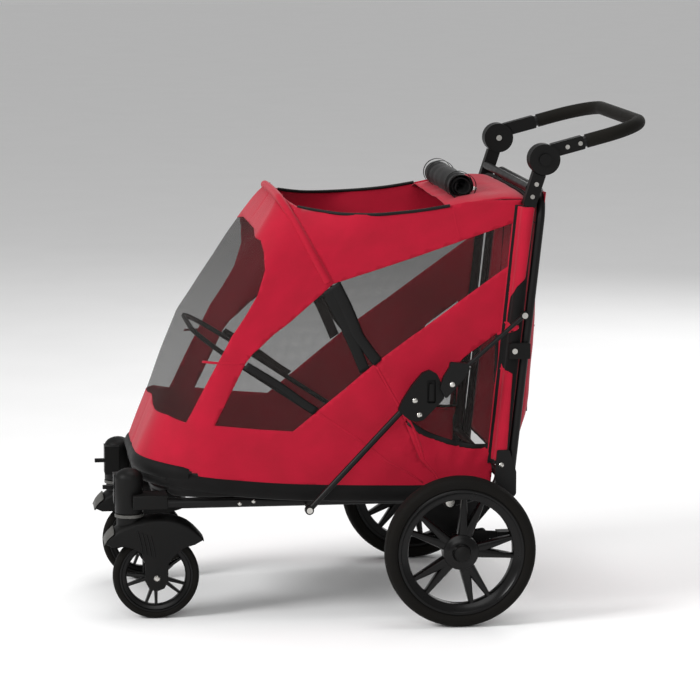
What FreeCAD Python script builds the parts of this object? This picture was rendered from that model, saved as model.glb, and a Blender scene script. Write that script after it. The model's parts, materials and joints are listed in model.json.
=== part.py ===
import FreeCAD, Part
import math
import os

# Folding pet stroller: a tray on two side rails, swivelling front casters, fixed rear wheels,
# two rear posts that fold forward with a tilting push handle, and a fabric cabin held up by two
# bows.  Units are millimetres.  +Z is up, the front of the stroller points to -Y and its left
# side to +X.  Every place below is measured from the rear axle line (Y = 0) and the floor
# (Z = 0); save() then moves the whole model so that its middle stands on the origin.

os.makedirs("parts", exist_ok=True)

# ---------------------------------------------------------------- driving dimensions

# fits
RUNNING_CLEARANCE = 0.1      # radial, pins and axles in their bores
MOVING_GAP = 0.6             # between faces of bodies that move past each other

# rear wheels
REAR_WHEEL_DIAMETER = 305
REAR_TYRE_WIDTH = 46
REAR_TYRE_HEIGHT = 28
REAR_TRACK = 684
REAR_AXLE_DIAMETER = 12
REAR_HUB_RADIUS = 42
REAR_HUB_WIDTH = 50
REAR_RIM_DEPTH = 18

# front casters
FRONT_WHEEL_DIAMETER = 175
FRONT_TYRE_WIDTH = 29
FRONT_TYRE_HEIGHT = 16
FRONT_HUB_RADIUS = 20
FRONT_HUB_WIDTH = 34
FRONT_RIM_DEPTH = 12
FRONT_AXLE_DIAMETER = 8
CASTER_SPACING = 380
CASTER_Y = -651
CASTER_TRAIL = 53
CASTER_TOP = 309
CASTER_HOUSING_RADIUS = 28.5
CASTER_HOUSING_BOTTOM = 212
FORK_HALF_WIDTH = 35
FORK_WALL = 5
FORK_STEM_DIAMETER = 16
SPOKE_PAIRS = 5
SPOKE_WIDTH_RATIO = 0.26      # of the hub's radius
SPOKE_SPREAD_RATIO = 0.95     # of the spoke's width
TYRE_CORNER_RATIO = 0.42      # of the tyre's width
RIM_WIDTH_RATIO = 0.8         # of the tyre's width
FENDER_REACH = 105

# chassis
RAIL_DIAMETER = 22
RAIL_WALL = 1.5
RAIL_SPACING = 440
RAIL_Z = 240
RAIL_FRONT = -606
RAIL_REAR = 108
ARM_FRONT = -640
ARM_REAR = -576
ARM_LOW = 217
ARM_TOP = 251
ARM_WALL = 3
ARM_INSIDE = 15
BRACKET_WIDTH = 24

# cabin floor
FLOOR_HALF_WIDTH = 226
FLOOR_LOW = 254
FLOOR_THICKNESS = 6
FLOOR_FRONT_GAP = 6
FLOOR_REAR = 60
PAD_THICKNESS = 24
PAD_MARGIN = 6

# fabric cabin
CABIN_WIDTH = 500
FABRIC = 4
CABIN_REAR_LOW = 74
CABIN_SECTIONS = (           # height, front face, corner radius
    (250, -612, 150),
    (322, -634, 150),
    (581, -527, 90),
    (838, -348, 50),
)
CABIN_TOP = 838
BAND_TOP_FRONT = 318
BAND_TOP_SIDE = 266
OPENING_REAR = -20
ROOF_TOP = 857
ROOF_THICKNESS = 7
ROLL_DIAMETER = 54
ROLL_LENGTH = 340
ROLL_Y = 27

# swivel locks on the casters' inner sides
LOCK_LOW_X = 148
LOCK_HIGH_X = 160
LOCK_FRONT_Y = -702
LOCK_Z = 264
LOCK_TAB_HEIGHT = 7
LOCK_BODY_WIDTH = 30
LOCK_BODY_HEIGHT = 60

# bows: both turn on the fold line
FOLD_Y = -11
FOLD_Z = 240
FOLD_PIN_DIAMETER = 10
BOW_WIRE = 6
TOP_BOW_SPACING = 484
TOP_BOW_TIP_Y = -336
TOP_BOW_TIP_Z = 842
TOP_BOW_CORNER = 128
BOW_EYE_WALL = 6
COVER_SHOULDER = 118
FRONT_BOW_SPACING = 470
FRONT_BOW_TIP_Y = -516
FRONT_BOW_TIP_Z = 577
FRONT_BOW_CORNER = 180

# rear posts and handle
POST_SPACING = 540
POST_DIAMETER = 20
POST_WALL = 1.5
POST_FOOT_Y = 88
POST_FOOT_BEND = 40
POST_TOP_Y = 148
POST_TOP_Z = 848
CROSSBAR_DIAMETER = 16
LOWER_CROSSBAR_Z = 292
HUB_Y = 176
HUB_Z = 929
HUB_RADIUS = 31
HUB_WIDTH = 36
HUB_PIN_DIAMETER = 12
LEG_WIDTH = 24
LEG_DEPTH = 26
LEG_BOTTOM_Z = 836
LEG_BOTTOM_Y = 146
ARM_RISE = 12.5
ARM_RIVETS = (222, 248)
ARM_END_Y = 256
HANDLE_DIAMETER = 22
HANDLE_WALL = 1.5
HANDLE_START_Y = 210
HANDLE_REAR_Y = 385
HANDLE_RISE = 0.262          # for each millimetre back
HANDLE_CORNER = 90
GRIP_DIAMETER = 28
GRIP_START_Y = 262
BUTTON_RADIUS = 12
BUTTON_TRAVEL = 4
BUTTON_PROUD = 5
BUTTON_POCKET = 10

# struts from the rails to the posts
STRUT_LOW_Y = -297
STRUT_LOW_Z = 233
KNUCKLE_Y = -12
KNUCKLE_Z = 484
STRUT_TOP_Y = 134
STRUT_TOP_Z = 620
STRUT_TUBE = 12
STRUT_ROD = 9
STRUT_PIN_DIAMETER = 7
HOUSING_LOW_X = 282.5
HOUSING_THICKNESS = 14.5
KNUCKLE_THICKNESS = 11
TRIGGER_DEPTH = 7
# moulded outlines, as (y, z) from the knuckle's rivet
HOUSING_MOUTH = (-104, -60)
HOUSING_OUTLINE = ((-107, -53), (-99, -34), (-80, -4), (-58, 22), (-43, 28), (-28, 19), (-19, -2),
                   (-14, -30), (-38, -55), (-56, -73), (-70, -76), (-86, -71))
TRIGGER_PIVOT = (-40, -30)
KNUCKLE_OUTLINE = ((-24, -6), (-17, 17), (-6, 34), (-4, 45), (30, 42), (37, 32), (22, 8),
                   (-13, -30))
ROD_MOUTH = (32, 37)

# rear gate
GATE_HOOP_DIAMETER = 18
GATE_HOOP_WALL = 1.5
GATE_PIVOT_Y = 110
GATE_PIVOT_Z = 262
GATE_TOP_Y = 176
GATE_TOP_Z = 862
GATE_CORNER = 60
GATE_PANEL_HALF_WIDTH = 254
GATE_PANEL_BACK = ((180, 832), (168, 643), (167, 546), (159, 447), (154, 407), (127, 328))   # y, z
GATE_PIN_DIAMETER = 8
CLIP_Z = 546
CLIP_HEIGHT = 32
CLIP_THICKNESS = 10
CLIP_PIN_DIAMETER = 6

# brakes
BRAKE_PIVOT_Y = 52
BRAKE_PIVOT_Z = 176
BRAKE_LOW_X = 287
BRAKE_HIGH_X = 311
BRAKE_PIN_DIAMETER = 6
BRAKE_ARM_LENGTH = 66
BRAKE_TREAD_LENGTH = 44
BRAKE_TREAD_THICKNESS = 11
AXLE_SPACER_DIAMETER = 20

# ---------------------------------------------------------------- derived sizes

REAR_RADIUS = REAR_WHEEL_DIAMETER / 2
REAR_X = REAR_TRACK / 2
FRONT_RADIUS = FRONT_WHEEL_DIAMETER / 2
CASTER_X = CASTER_SPACING / 2
FRONT_AXLE_Y = CASTER_Y + CASTER_TRAIL
RAIL_X = RAIL_SPACING / 2
RAIL_RADIUS = RAIL_DIAMETER / 2
CABIN_X = CABIN_WIDTH / 2
TOP_BOW_X = TOP_BOW_SPACING / 2
FRONT_BOW_X = FRONT_BOW_SPACING / 2
POST_X = POST_SPACING / 2
POST_OUTER_X = POST_X + POST_DIAMETER / 2
HUB_INNER_X = POST_X - HUB_WIDTH / 2
HUB_OUTER_X = POST_X + HUB_WIDTH / 2
HOUSING_HIGH_X = HOUSING_LOW_X + HOUSING_THICKNESS
STRUT_TUBE_X = HOUSING_LOW_X + STRUT_TUBE / 2 + 0.5
KNUCKLE_LOW_X = HOUSING_HIGH_X + MOVING_GAP
KNUCKLE_HIGH_X = KNUCKLE_LOW_X + KNUCKLE_THICKNESS
KNUCKLE_MID_X = (KNUCKLE_LOW_X + KNUCKLE_HIGH_X) / 2
PAD_LOW = FLOOR_LOW + FLOOR_THICKNESS
FLOOR_FRONT = CABIN_SECTIONS[0][1] + FABRIC + FLOOR_FRONT_GAP
ROLL_Z = CABIN_TOP + 1 + ROLL_DIAMETER / 2
FENDER_FRONT = FRONT_AXLE_Y - FENDER_REACH
HANDLE_BACK = HANDLE_REAR_Y + GRIP_DIAMETER / 2
MIDDLE_Y = (FENDER_FRONT + HANDLE_BACK) / 2
SIDES = (("left", 1), ("right", -1))

# ---------------------------------------------------------------- shape helpers


def vec(x, y, z):
    return FreeCAD.Vector(x, y, z)


def save(node, *solids):
    """Write one node, moved so that the stroller's middle stands on the origin."""
    shape = solids[0] if len(solids) == 1 else Part.makeCompound(list(solids))
    shape = shape.copy()
    shape.translate(vec(0, -MIDDLE_Y, 0))
    shape.exportStep("parts/" + node + ".step")


def mirrored(shape, side):
    """The left-hand shape for side 1, its mirror image for side -1."""
    return shape if side > 0 else shape.mirror(vec(0, 0, 0), vec(1, 0, 0))


def fused(*shapes):
    return shapes[0].multiFuse(list(shapes[1:])).removeSplitter()


def box(x, y, z):
    """A box from three (low, high) pairs."""
    return Part.makeBox(x[1] - x[0], y[1] - y[0], z[1] - z[0], vec(x[0], y[0], z[0]))


def pin(x_low, x_high, y, z, diameter):
    """A round bar along X."""
    return Part.makeCylinder(diameter / 2, x_high - x_low, vec(x_low, y, z), vec(1, 0, 0))


def bar(start, end, diameter):
    """A round bar between two points."""
    along = end.sub(start)
    return Part.makeCylinder(diameter / 2, along.Length, start, along)


def rounded_wire(points, radii, closed):
    """Straight runs joined by tangent arcs, one radius to each point."""
    count = len(points)
    corners = []
    for index, point in enumerate(points):
        radius = radii[index]
        at_end = not closed and index in (0, count - 1)
        if at_end or radius == 0:
            corners.append((point, None, point))
            continue
        back = points[index - 1].sub(point).normalize()
        ahead = points[(index + 1) % count].sub(point).normalize()
        half = back.getAngle(ahead) / 2
        reach = radius / math.tan(half)
        middle = back.add(ahead).normalize() * (radius / math.sin(half) - radius)
        corners.append((point.add(back * reach), point.add(middle), point.add(ahead * reach)))
    edges = []
    for index in range(count if closed else count - 1):
        start = corners[index][2]
        entry, middle, leave = corners[(index + 1) % count]
        if start.distanceToPoint(entry) > 1e-6:
            edges.append(Part.LineSegment(start, entry).toShape())
        if middle is not None:
            edges.append(Part.Arc(entry, middle, leave).toShape())
    return Part.Wire(edges)


def plate(points, radii, x_low, x_high):
    """A side-view outline of (y, z) points with rounded corners, given a width along X."""
    if not isinstance(radii, (list, tuple)):
        radii = [radii] * len(points)
    corners = [vec(x_low, y, z) for y, z in points]
    face = Part.Face(rounded_wire(corners, radii, True))
    return face.extrude(vec(x_high - x_low, 0, 0))


def round_sweep(path, start, direction, diameter):
    circle = Part.Wire(Part.makeCircle(diameter / 2, start, direction))
    return path.makePipeShell([circle], True, False)


def tube(points, radii, diameter, wall=0):
    """A bent round tube, or a bent rod where no wall is given."""
    path = rounded_wire(points, radii, False)
    direction = points[1].sub(points[0])
    outer = round_sweep(path, points[0], direction, diameter)
    if wall == 0:
        return outer
    return outer.cut(round_sweep(path, points[0], direction, diameter - 2 * wall))


def toward(start, end, distance):
    """The (y, z) point at a distance from start on the way to end."""
    length = math.dist(start, end)
    return tuple(a + (b - a) * distance / length for a, b in zip(start, end))


def ring(inner, outer, width, corner, centre):
    """A rounded ring about X, for a tyre or a rim."""
    half = width / 2
    points = [vec(-half, inner, 0), vec(half, inner, 0), vec(half, outer, 0), vec(-half, outer, 0)]
    section = Part.Face(rounded_wire(points, [1, 1, corner, corner], True))
    solid = section.revolve(vec(0, 0, 0), vec(1, 0, 0), 360)
    solid.translate(centre)
    return solid

# ---------------------------------------------------------------- wheels


def spoked_rim(inner, outer, rim_width, hub_radius, hub_width, bore, centre):
    """Rim, hub and pairs of spokes in one moulding, bored for its axle."""
    rim = ring(inner, outer, rim_width, 1, vec(0, 0, 0))
    hub = pin(-hub_width / 2, hub_width / 2, 0, 0, 2 * hub_radius)
    spoke_width = hub_radius * SPOKE_WIDTH_RATIO
    spread = spoke_width * SPOKE_SPREAD_RATIO
    spokes = []
    for pair in range(SPOKE_PAIRS):
        for side in (-1, 1):
            middle = side * spread
            spoke = box((-rim_width / 4, rim_width / 4),
                        (middle - spoke_width / 2, middle + spoke_width / 2),
                        (hub_radius * 0.7, inner + 2))
            spoke.rotate(vec(0, 0, 0), vec(1, 0, 0), 360 / SPOKE_PAIRS * pair)
            spokes.append(spoke)
    wheel = fused(rim, hub, *spokes)
    wheel = wheel.cut(pin(-hub_width, hub_width, 0, 0, bore))
    wheel.translate(centre)
    return wheel


def rear_wheels():
    tyre_inner = REAR_RADIUS - REAR_TYRE_HEIGHT
    for name, side in SIDES:
        centre = vec(REAR_X, 0, REAR_RADIUS)
        tyre = ring(tyre_inner, REAR_RADIUS, REAR_TYRE_WIDTH, REAR_TYRE_WIDTH * TYRE_CORNER_RATIO, centre)
        rim = spoked_rim(tyre_inner - REAR_RIM_DEPTH, tyre_inner, REAR_TYRE_WIDTH * RIM_WIDTH_RATIO,
                         REAR_HUB_RADIUS, REAR_HUB_WIDTH,
                         REAR_AXLE_DIAMETER + 2 * RUNNING_CLEARANCE, centre)
        save("rear_tyre_" + name, mirrored(tyre, side))
        save("rear_rim_" + name, mirrored(rim, side))


def front_wheels():
    tyre_inner = FRONT_RADIUS - FRONT_TYRE_HEIGHT
    for name, side in SIDES:
        centre = vec(CASTER_X, FRONT_AXLE_Y, FRONT_RADIUS)
        tyre = ring(tyre_inner, FRONT_RADIUS, FRONT_TYRE_WIDTH, FRONT_TYRE_WIDTH * TYRE_CORNER_RATIO, centre)
        rim = spoked_rim(tyre_inner - FRONT_RIM_DEPTH, tyre_inner, FRONT_TYRE_WIDTH * RIM_WIDTH_RATIO,
                         FRONT_HUB_RADIUS, FRONT_HUB_WIDTH,
                         FRONT_AXLE_DIAMETER + 2 * RUNNING_CLEARANCE, centre)
        save("front_tyre_" + name, mirrored(tyre, side))
        save("front_rim_" + name, mirrored(rim, side))


def fender_outline():
    """Side view of the caster fork: a mudguard over the wheel that narrows to a leg."""
    y = FRONT_AXLE_Y
    z = FRONT_RADIUS
    return [(y - FENDER_REACH, z + 77), (y - 84, z + 99), (y - 62, z + 118), (y - 20, z + 125),
            (y + 30, z + 124), (y + 70, z + 106), (y + 96, z + 79), (y + 77, z + 67),
            (y + 55, z + 61), (y + 32, z + 42), (y + 25, z + 28), (y + 24, z - 25),
            (y - 24, z - 25), (y - 25, z + 31), (y - 32, z + 52), (y - 62, z + 65),
            (y - 90, z + 65)]


def forks():
    """Fork, mudguard and swivel stem in one moulding, with the wheel's axle bolt through it."""
    radii = [4, 30, 20, 60, 60, 30, 4, 20, 20, 15, 20, 22, 22, 20, 12, 10, 10]
    inner = FORK_HALF_WIDTH - FORK_WALL
    shell = plate(fender_outline(), radii, CASTER_X - FORK_HALF_WIDTH, CASTER_X + FORK_HALF_WIDTH)
    arch = pin(CASTER_X - inner, CASTER_X + inner, FRONT_AXLE_Y, FRONT_RADIUS, 2 * FRONT_RADIUS + 14)
    below = box((CASTER_X - inner, CASTER_X + inner),
                (FRONT_AXLE_Y - FRONT_RADIUS - 20, FRONT_AXLE_Y + FRONT_RADIUS + 20),
                (FRONT_RADIUS - 60, FRONT_RADIUS + 40))
    shell = shell.cut(arch).cut(below)
    neck_low = FRONT_RADIUS + 100
    neck = Part.makeCylinder(CASTER_HOUSING_RADIUS - 3, CASTER_HOUSING_BOTTOM - 1.5 - neck_low,
                             vec(CASTER_X, CASTER_Y, neck_low))
    stem = Part.makeCylinder(FORK_STEM_DIAMETER / 2, CASTER_TOP - 28 - neck_low,
                             vec(CASTER_X, CASTER_Y, neck_low))
    bolt = pin(CASTER_X - FORK_HALF_WIDTH - 3, CASTER_X + FORK_HALF_WIDTH + 3,
               FRONT_AXLE_Y, FRONT_RADIUS, FRONT_AXLE_DIAMETER)
    boss_length = inner - FRONT_HUB_WIDTH / 2 - MOVING_GAP
    bosses = [pin(CASTER_X + offset, CASTER_X + offset + boss_length, FRONT_AXLE_Y, FRONT_RADIUS, 24)
              for offset in (-inner, FRONT_HUB_WIDTH / 2 + MOVING_GAP)]
    fork = fused(shell, neck, stem, bolt, *bosses)
    for name, side in SIDES:
        save("fork_" + name, mirrored(fork, side))

# ---------------------------------------------------------------- chassis


def rails():
    for name, side in SIDES:
        rail = tube([vec(RAIL_X, RAIL_FRONT, RAIL_Z), vec(RAIL_X, RAIL_REAR, RAIL_Z)], [0, 0],
                    RAIL_DIAMETER, RAIL_WALL)
        save("rail_" + name, mirrored(rail, side))


def crossbars():
    """Front cross tube between the rails, and the axle that carries both rear wheels."""
    half = RAIL_X - RAIL_RADIUS
    front = tube([vec(-half, ARM_REAR - 14, RAIL_Z), vec(half, ARM_REAR - 14, RAIL_Z)], [0, 0],
                 CROSSBAR_DIAMETER, RAIL_WALL)
    save("front_crossbar", front)
    reach = REAR_X + REAR_HUB_WIDTH / 2 + 8
    save("rear_axle", pin(-reach, reach, 0, REAR_RADIUS, REAR_AXLE_DIAMETER))
    half = RAIL_X - BRACKET_WIDTH / 2
    sleeve = pin(-half, half, 0, REAR_RADIUS, RAIL_DIAMETER)
    bore = pin(-half, half, 0, REAR_RADIUS, REAR_AXLE_DIAMETER)
    save("axle_tube", sleeve.cut(bore))


def axle_brackets():
    """Plates that hang the axle below the rails."""
    outline = [(-74, RAIL_Z), (82, RAIL_Z), (82, RAIL_Z - 20), (24, REAR_RADIUS),
               (14, REAR_RADIUS - 24), (-14, REAR_RADIUS - 24), (-24, REAR_RADIUS),
               (-74, RAIL_Z - 20)]
    half = BRACKET_WIDTH / 2
    bracket = plate(outline, [0, 0, 6, 20, 12, 12, 20, 6], RAIL_X - half, RAIL_X + half)
    rail = bar(vec(RAIL_X, RAIL_FRONT, RAIL_Z), vec(RAIL_X, RAIL_REAR, RAIL_Z), RAIL_DIAMETER)
    axle = pin(0, REAR_X, 0, REAR_RADIUS, REAR_AXLE_DIAMETER)
    fold_pin = pin(0, POST_X, FOLD_Y, FOLD_Z, FOLD_PIN_DIAMETER)
    bracket = bracket.cut(rail).cut(axle).cut(fold_pin)
    save("axle_brackets", bracket, mirrored(bracket, -1))


def caster_mounts():
    """Domed swivel housings, each on an arm that the rail's front end plugs into."""
    reach = RAIL_X + RAIL_RADIUS + ARM_WALL
    straight = CASTER_TOP - CASTER_HOUSING_RADIUS * 0.72
    housing = Part.makeCylinder(CASTER_HOUSING_RADIUS, straight - CASTER_HOUSING_BOTTOM,
                                vec(CASTER_X, CASTER_Y, CASTER_HOUSING_BOTTOM))
    dome = Part.makeSphere(CASTER_HOUSING_RADIUS)
    squash = FreeCAD.Matrix()
    squash.scale(1, 1, 0.72)
    dome = dome.transformGeometry(squash)
    dome.translate(vec(CASTER_X, CASTER_Y, straight))
    arm = box((CASTER_X - ARM_INSIDE, reach), (ARM_FRONT, ARM_REAR), (ARM_LOW, ARM_TOP))
    rail = bar(vec(RAIL_X, RAIL_FRONT, RAIL_Z), vec(RAIL_X, RAIL_REAR, RAIL_Z), RAIL_DIAMETER)
    cross = pin(0, RAIL_X - RAIL_RADIUS, ARM_REAR - 14, RAIL_Z, CROSSBAR_DIAMETER)
    bore_radius = FORK_STEM_DIAMETER / 2 + RUNNING_CLEARANCE
    bore = Part.makeCylinder(bore_radius, CASTER_TOP - 26 - CASTER_HOUSING_BOTTOM,
                             vec(CASTER_X, CASTER_Y, CASTER_HOUSING_BOTTOM))
    mount = fused(housing, dome, arm).cut(rail).cut(cross).cut(bore)
    for name, side in SIDES:
        save("caster_mount_" + name, mirrored(mount, side))


def swivel_locks():
    """A bracket on the inner side of each caster housing, with a tab that sticks out ahead."""
    body_front = CASTER_Y - LOCK_BODY_WIDTH
    body = box((LOCK_LOW_X, CASTER_X), (body_front, CASTER_Y),
               (LOCK_Z - LOCK_BODY_HEIGHT / 2, LOCK_Z + LOCK_BODY_HEIGHT / 2))
    tab = box((LOCK_LOW_X, LOCK_HIGH_X), (LOCK_FRONT_Y, body_front),
              (LOCK_Z - LOCK_TAB_HEIGHT / 2, LOCK_Z + LOCK_TAB_HEIGHT / 2))
    housing = Part.makeCylinder(CASTER_HOUSING_RADIUS, CASTER_TOP, vec(CASTER_X, CASTER_Y, 0))
    ahead = box((LOCK_LOW_X, CASTER_X), (LOCK_FRONT_Y, ARM_FRONT - 8), (0, CASTER_TOP))
    lock = body.fuse(tab).common(ahead).cut(housing)
    lock = max(lock.Solids, key=lambda solid: solid.Volume)
    save("swivel_locks", lock, mirrored(lock, -1))


def chassis_rivets():
    """Fold pins and strut pins standing out of the rails, and the axle's end nuts."""
    low = RAIL_X + RAIL_RADIUS - 2
    rail = bar(vec(RAIL_X, RAIL_FRONT, RAIL_Z), vec(RAIL_X, RAIL_REAR, RAIL_Z), RAIL_DIAMETER)
    fold = pin(low, POST_OUTER_X + 2, FOLD_Y, FOLD_Z, FOLD_PIN_DIAMETER)
    head = pin(POST_OUTER_X + MOVING_GAP, POST_OUTER_X + 4, FOLD_Y, FOLD_Z, FOLD_PIN_DIAMETER + 8)
    strut = pin(low, HOUSING_HIGH_X, STRUT_LOW_Y, STRUT_LOW_Z, STRUT_PIN_DIAMETER)
    strut_head = pin(HOUSING_HIGH_X, HOUSING_HIGH_X + 3, STRUT_LOW_Y, STRUT_LOW_Z, 12)
    nut_low = REAR_X + REAR_HUB_WIDTH / 2 + MOVING_GAP
    nut = pin(nut_low, nut_low + 9, 0, REAR_RADIUS, 30)
    nut = nut.cut(pin(0, REAR_X * 2, 0, REAR_RADIUS, REAR_AXLE_DIAMETER))
    pieces = [fused(fold, head).cut(rail), fused(strut, strut_head).cut(rail), nut]
    save("chassis_pins", *pieces, *[mirrored(piece, -1) for piece in pieces])


def brakes():
    """Brake blocks on the axle beside the rear wheels, and their foot pedals."""
    span = (BRAKE_LOW_X, BRAKE_HIGH_X)
    z = REAR_RADIUS
    block = plate([(-22, z - 20), (BRAKE_PIVOT_Y + 8, z - 14), (BRAKE_PIVOT_Y + 14, z + 10),
                   (BRAKE_PIVOT_Y + 6, z + 36), (10, z + 30), (-22, z + 16)], 7, *span)
    third = (BRAKE_HIGH_X - BRAKE_LOW_X) / 3
    inside = (BRAKE_LOW_X + third, BRAKE_HIGH_X - third)
    slot = pin(*inside, BRAKE_PIVOT_Y, BRAKE_PIVOT_Z, 40)
    slot = slot.fuse(box(inside, (BRAKE_PIVOT_Y, BRAKE_PIVOT_Y + 40),
                         (BRAKE_PIVOT_Z - 40, BRAKE_PIVOT_Z + 40)))
    axle = pin(0, REAR_X, 0, REAR_RADIUS, REAR_AXLE_DIAMETER)
    hinge = pin(*span, BRAKE_PIVOT_Y, BRAKE_PIVOT_Z, BRAKE_PIN_DIAMETER)
    spacer_low = RAIL_X + BRACKET_WIDTH / 2
    spacer = pin(spacer_low, BRAKE_LOW_X, 0, REAR_RADIUS, AXLE_SPACER_DIAMETER)
    block = fused(block.cut(slot), hinge, spacer).cut(axle)
    save("brake_blocks", block, mirrored(block, -1))
    arm_end = BRAKE_PIVOT_Y + BRAKE_ARM_LENGTH
    arm = plate([(BRAKE_PIVOT_Y - 9, BRAKE_PIVOT_Z - 9), (arm_end, BRAKE_PIVOT_Z - 4),
                 (arm_end, BRAKE_PIVOT_Z + 4), (BRAKE_PIVOT_Y - 9, BRAKE_PIVOT_Z + 9)],
                [8, 2, 2, 8], inside[0] + MOVING_GAP, inside[1] - MOVING_GAP)
    tread_end = arm_end + 8
    tread = box((BRAKE_LOW_X - 10, BRAKE_HIGH_X - 4), (tread_end - BRAKE_TREAD_LENGTH, tread_end),
                (BRAKE_PIVOT_Z - 5, BRAKE_PIVOT_Z - 5 + BRAKE_TREAD_THICKNESS))
    bore = pin(*span, BRAKE_PIVOT_Y, BRAKE_PIVOT_Z, BRAKE_PIN_DIAMETER + 2 * RUNNING_CLEARANCE)
    pedal = fused(arm, tread).cut(bore)
    for name, side in SIDES:
        save("brake_pedal_" + name, mirrored(pedal, side))

# ---------------------------------------------------------------- cabin


def cabin_section(height, front, corner, inset, rear_extra):
    """One level of the cabin: open at the back, rounded at the two front corners."""
    half = CABIN_X - inset
    rear = CABIN_REAR_LOW + (height - CABIN_SECTIONS[0][0]) * rear_slope() + rear_extra
    points = [vec(-half, rear, height), vec(-half, front + inset, height),
              vec(half, front + inset, height), vec(half, rear, height)]
    return rounded_wire(points, [0, corner - inset, corner - inset, 0], True)


def rear_slope():
    """How far the posts lean back for each millimetre of height."""
    return (POST_TOP_Y - POST_FOOT_Y) / (POST_TOP_Z - LOWER_CROSSBAR_Z)


def cabin_shell():
    """The standing fabric walls: front, both sides and their rounded corners."""
    outer = Part.makeLoft([cabin_section(*level, 0, 0) for level in CABIN_SECTIONS], True, True)
    inner = Part.makeLoft([cabin_section(*level, FABRIC, 20) for level in CABIN_SECTIONS], True, True)
    return outer.cut(inner)


def fold_wedge(y_tip, z_tip, ahead):
    """Everything in front of, or behind, the sheet that runs from the fold line up to a tip."""
    far = 2000
    base = (FOLD_Y, FOLD_Z)
    tip = toward(base, (y_tip, z_tip), far)
    under = toward((y_tip, z_tip), base, far)
    corner = -far if ahead else far
    return plate([under, tip, (corner, far), (corner, -far)], 0, -far, far)


def room_for_casters():
    """The space that the caster housings, their arms and the rails take under the fabric."""
    housing = Part.makeCylinder(CASTER_HOUSING_RADIUS + MOVING_GAP, CASTER_TOP - ARM_LOW,
                                vec(CASTER_X, CASTER_Y, ARM_LOW))
    arm = box((CASTER_X - ARM_INSIDE - MOVING_GAP, RAIL_X + RAIL_RADIUS + ARM_WALL + MOVING_GAP),
              (ARM_FRONT - MOVING_GAP, ARM_REAR + MOVING_GAP), (ARM_LOW, ARM_TOP + MOVING_GAP))
    rail = bar(vec(RAIL_X, RAIL_FRONT, RAIL_Z), vec(RAIL_X, RAIL_REAR, RAIL_Z),
               RAIL_DIAMETER + 2 * MOVING_GAP)
    room = housing.fuse(arm).fuse(rail)
    return room.fuse(mirrored(room, -1))


def arch():
    """The room under the top bow's rounded shoulders, all along the front cover."""
    half = CABIN_X + 1
    front = CABIN_SECTIONS[1][1] - 10
    low = CABIN_SECTIONS[0][0] - 10
    corners = [vec(-half, front, low), vec(-half, front, CABIN_TOP),
               vec(half, front, CABIN_TOP), vec(half, front, low)]
    outline = rounded_wire(corners, [0, COVER_SHOULDER, COVER_SHOULDER, 0], True)
    return Part.Face(outline).extrude(vec(0, CABIN_REAR_LOW - front, 0))


def cabin():
    shell = cabin_shell()
    wide = (-CABIN_X - 1, CABIN_X + 1)
    band_top = [(-700, BAND_TOP_FRONT), (-600, BAND_TOP_FRONT - 6), (-500, BAND_TOP_SIDE + 26),
                (-100, BAND_TOP_SIDE), (200, BAND_TOP_SIDE)]
    below = plate(band_top + [(200, 200), (-700, 200)], 0, *wide)
    save("tray_band", shell.common(below).cut(room_for_casters()))
    walls = shell.cut(below)
    front = walls.common(fold_wedge(TOP_BOW_TIP_Y, TOP_BOW_TIP_Z, True))
    save("cover_front", front.common(arch()))
    sides = walls.cut(fold_wedge(TOP_BOW_TIP_Y, TOP_BOW_TIP_Z, True))
    for name, side in SIDES:
        half_space = box((0, 2 * CABIN_X), (-2 * CABIN_TOP, CABIN_TOP), (0, 2 * CABIN_TOP))
        save("cover_" + name, sides.common(mirrored(half_space, side)))
    rear = CABIN_REAR_LOW + (ROOF_TOP - CABIN_SECTIONS[0][0]) * rear_slope()
    step = ROLL_Y + ROLL_DIAMETER / 2 + 2
    low = CABIN_TOP - ROOF_THICKNESS
    high = ROOF_TOP - ROOF_THICKNESS
    under_roll = [(OPENING_REAR, low), (step - 2, low), (step + 7, high), (step + 7, ROOF_TOP),
                  (step, ROOF_TOP), (step - 9, CABIN_TOP), (OPENING_REAR, CABIN_TOP)]
    behind_roll = [(step, high), (rear, high), (rear, ROOF_TOP), (step, ROOF_TOP)]
    inside = CABIN_X - FABRIC - MOVING_GAP
    save("cover_roof", fused(plate(under_roll, 0, -inside, inside),
                             plate(behind_roll, 0, -CABIN_X, CABIN_X)))
    roll = pin(-ROLL_LENGTH / 2, ROLL_LENGTH / 2, ROLL_Y, ROLL_Z, ROLL_DIAMETER)
    save("mesh_roll", roll.makeFillet(3, [e for e in roll.Edges if e.Length > ROLL_DIAMETER * 3]))


def floor():
    """A stiff floor board with a loose pad on it."""
    edge = [(-FLOOR_HALF_WIDTH, FLOOR_REAR), (-FLOOR_HALF_WIDTH, FLOOR_FRONT),
            (FLOOR_HALF_WIDTH, FLOOR_FRONT), (FLOOR_HALF_WIDTH, FLOOR_REAR)]

    def slab(inset, low, high):
        ring_points = [vec(x - math.copysign(inset, x), y + (inset if y < 0 else -inset), low)
                       for x, y in edge]
        outline = rounded_wire(ring_points, [20, 130 - inset, 130 - inset, 20], True)
        return Part.Face(outline).extrude(vec(0, 0, high - low))

    save("floor_board", slab(0, FLOOR_LOW, PAD_LOW))
    save("floor_pad", slab(PAD_MARGIN, PAD_LOW, PAD_LOW + PAD_THICKNESS))


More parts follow.
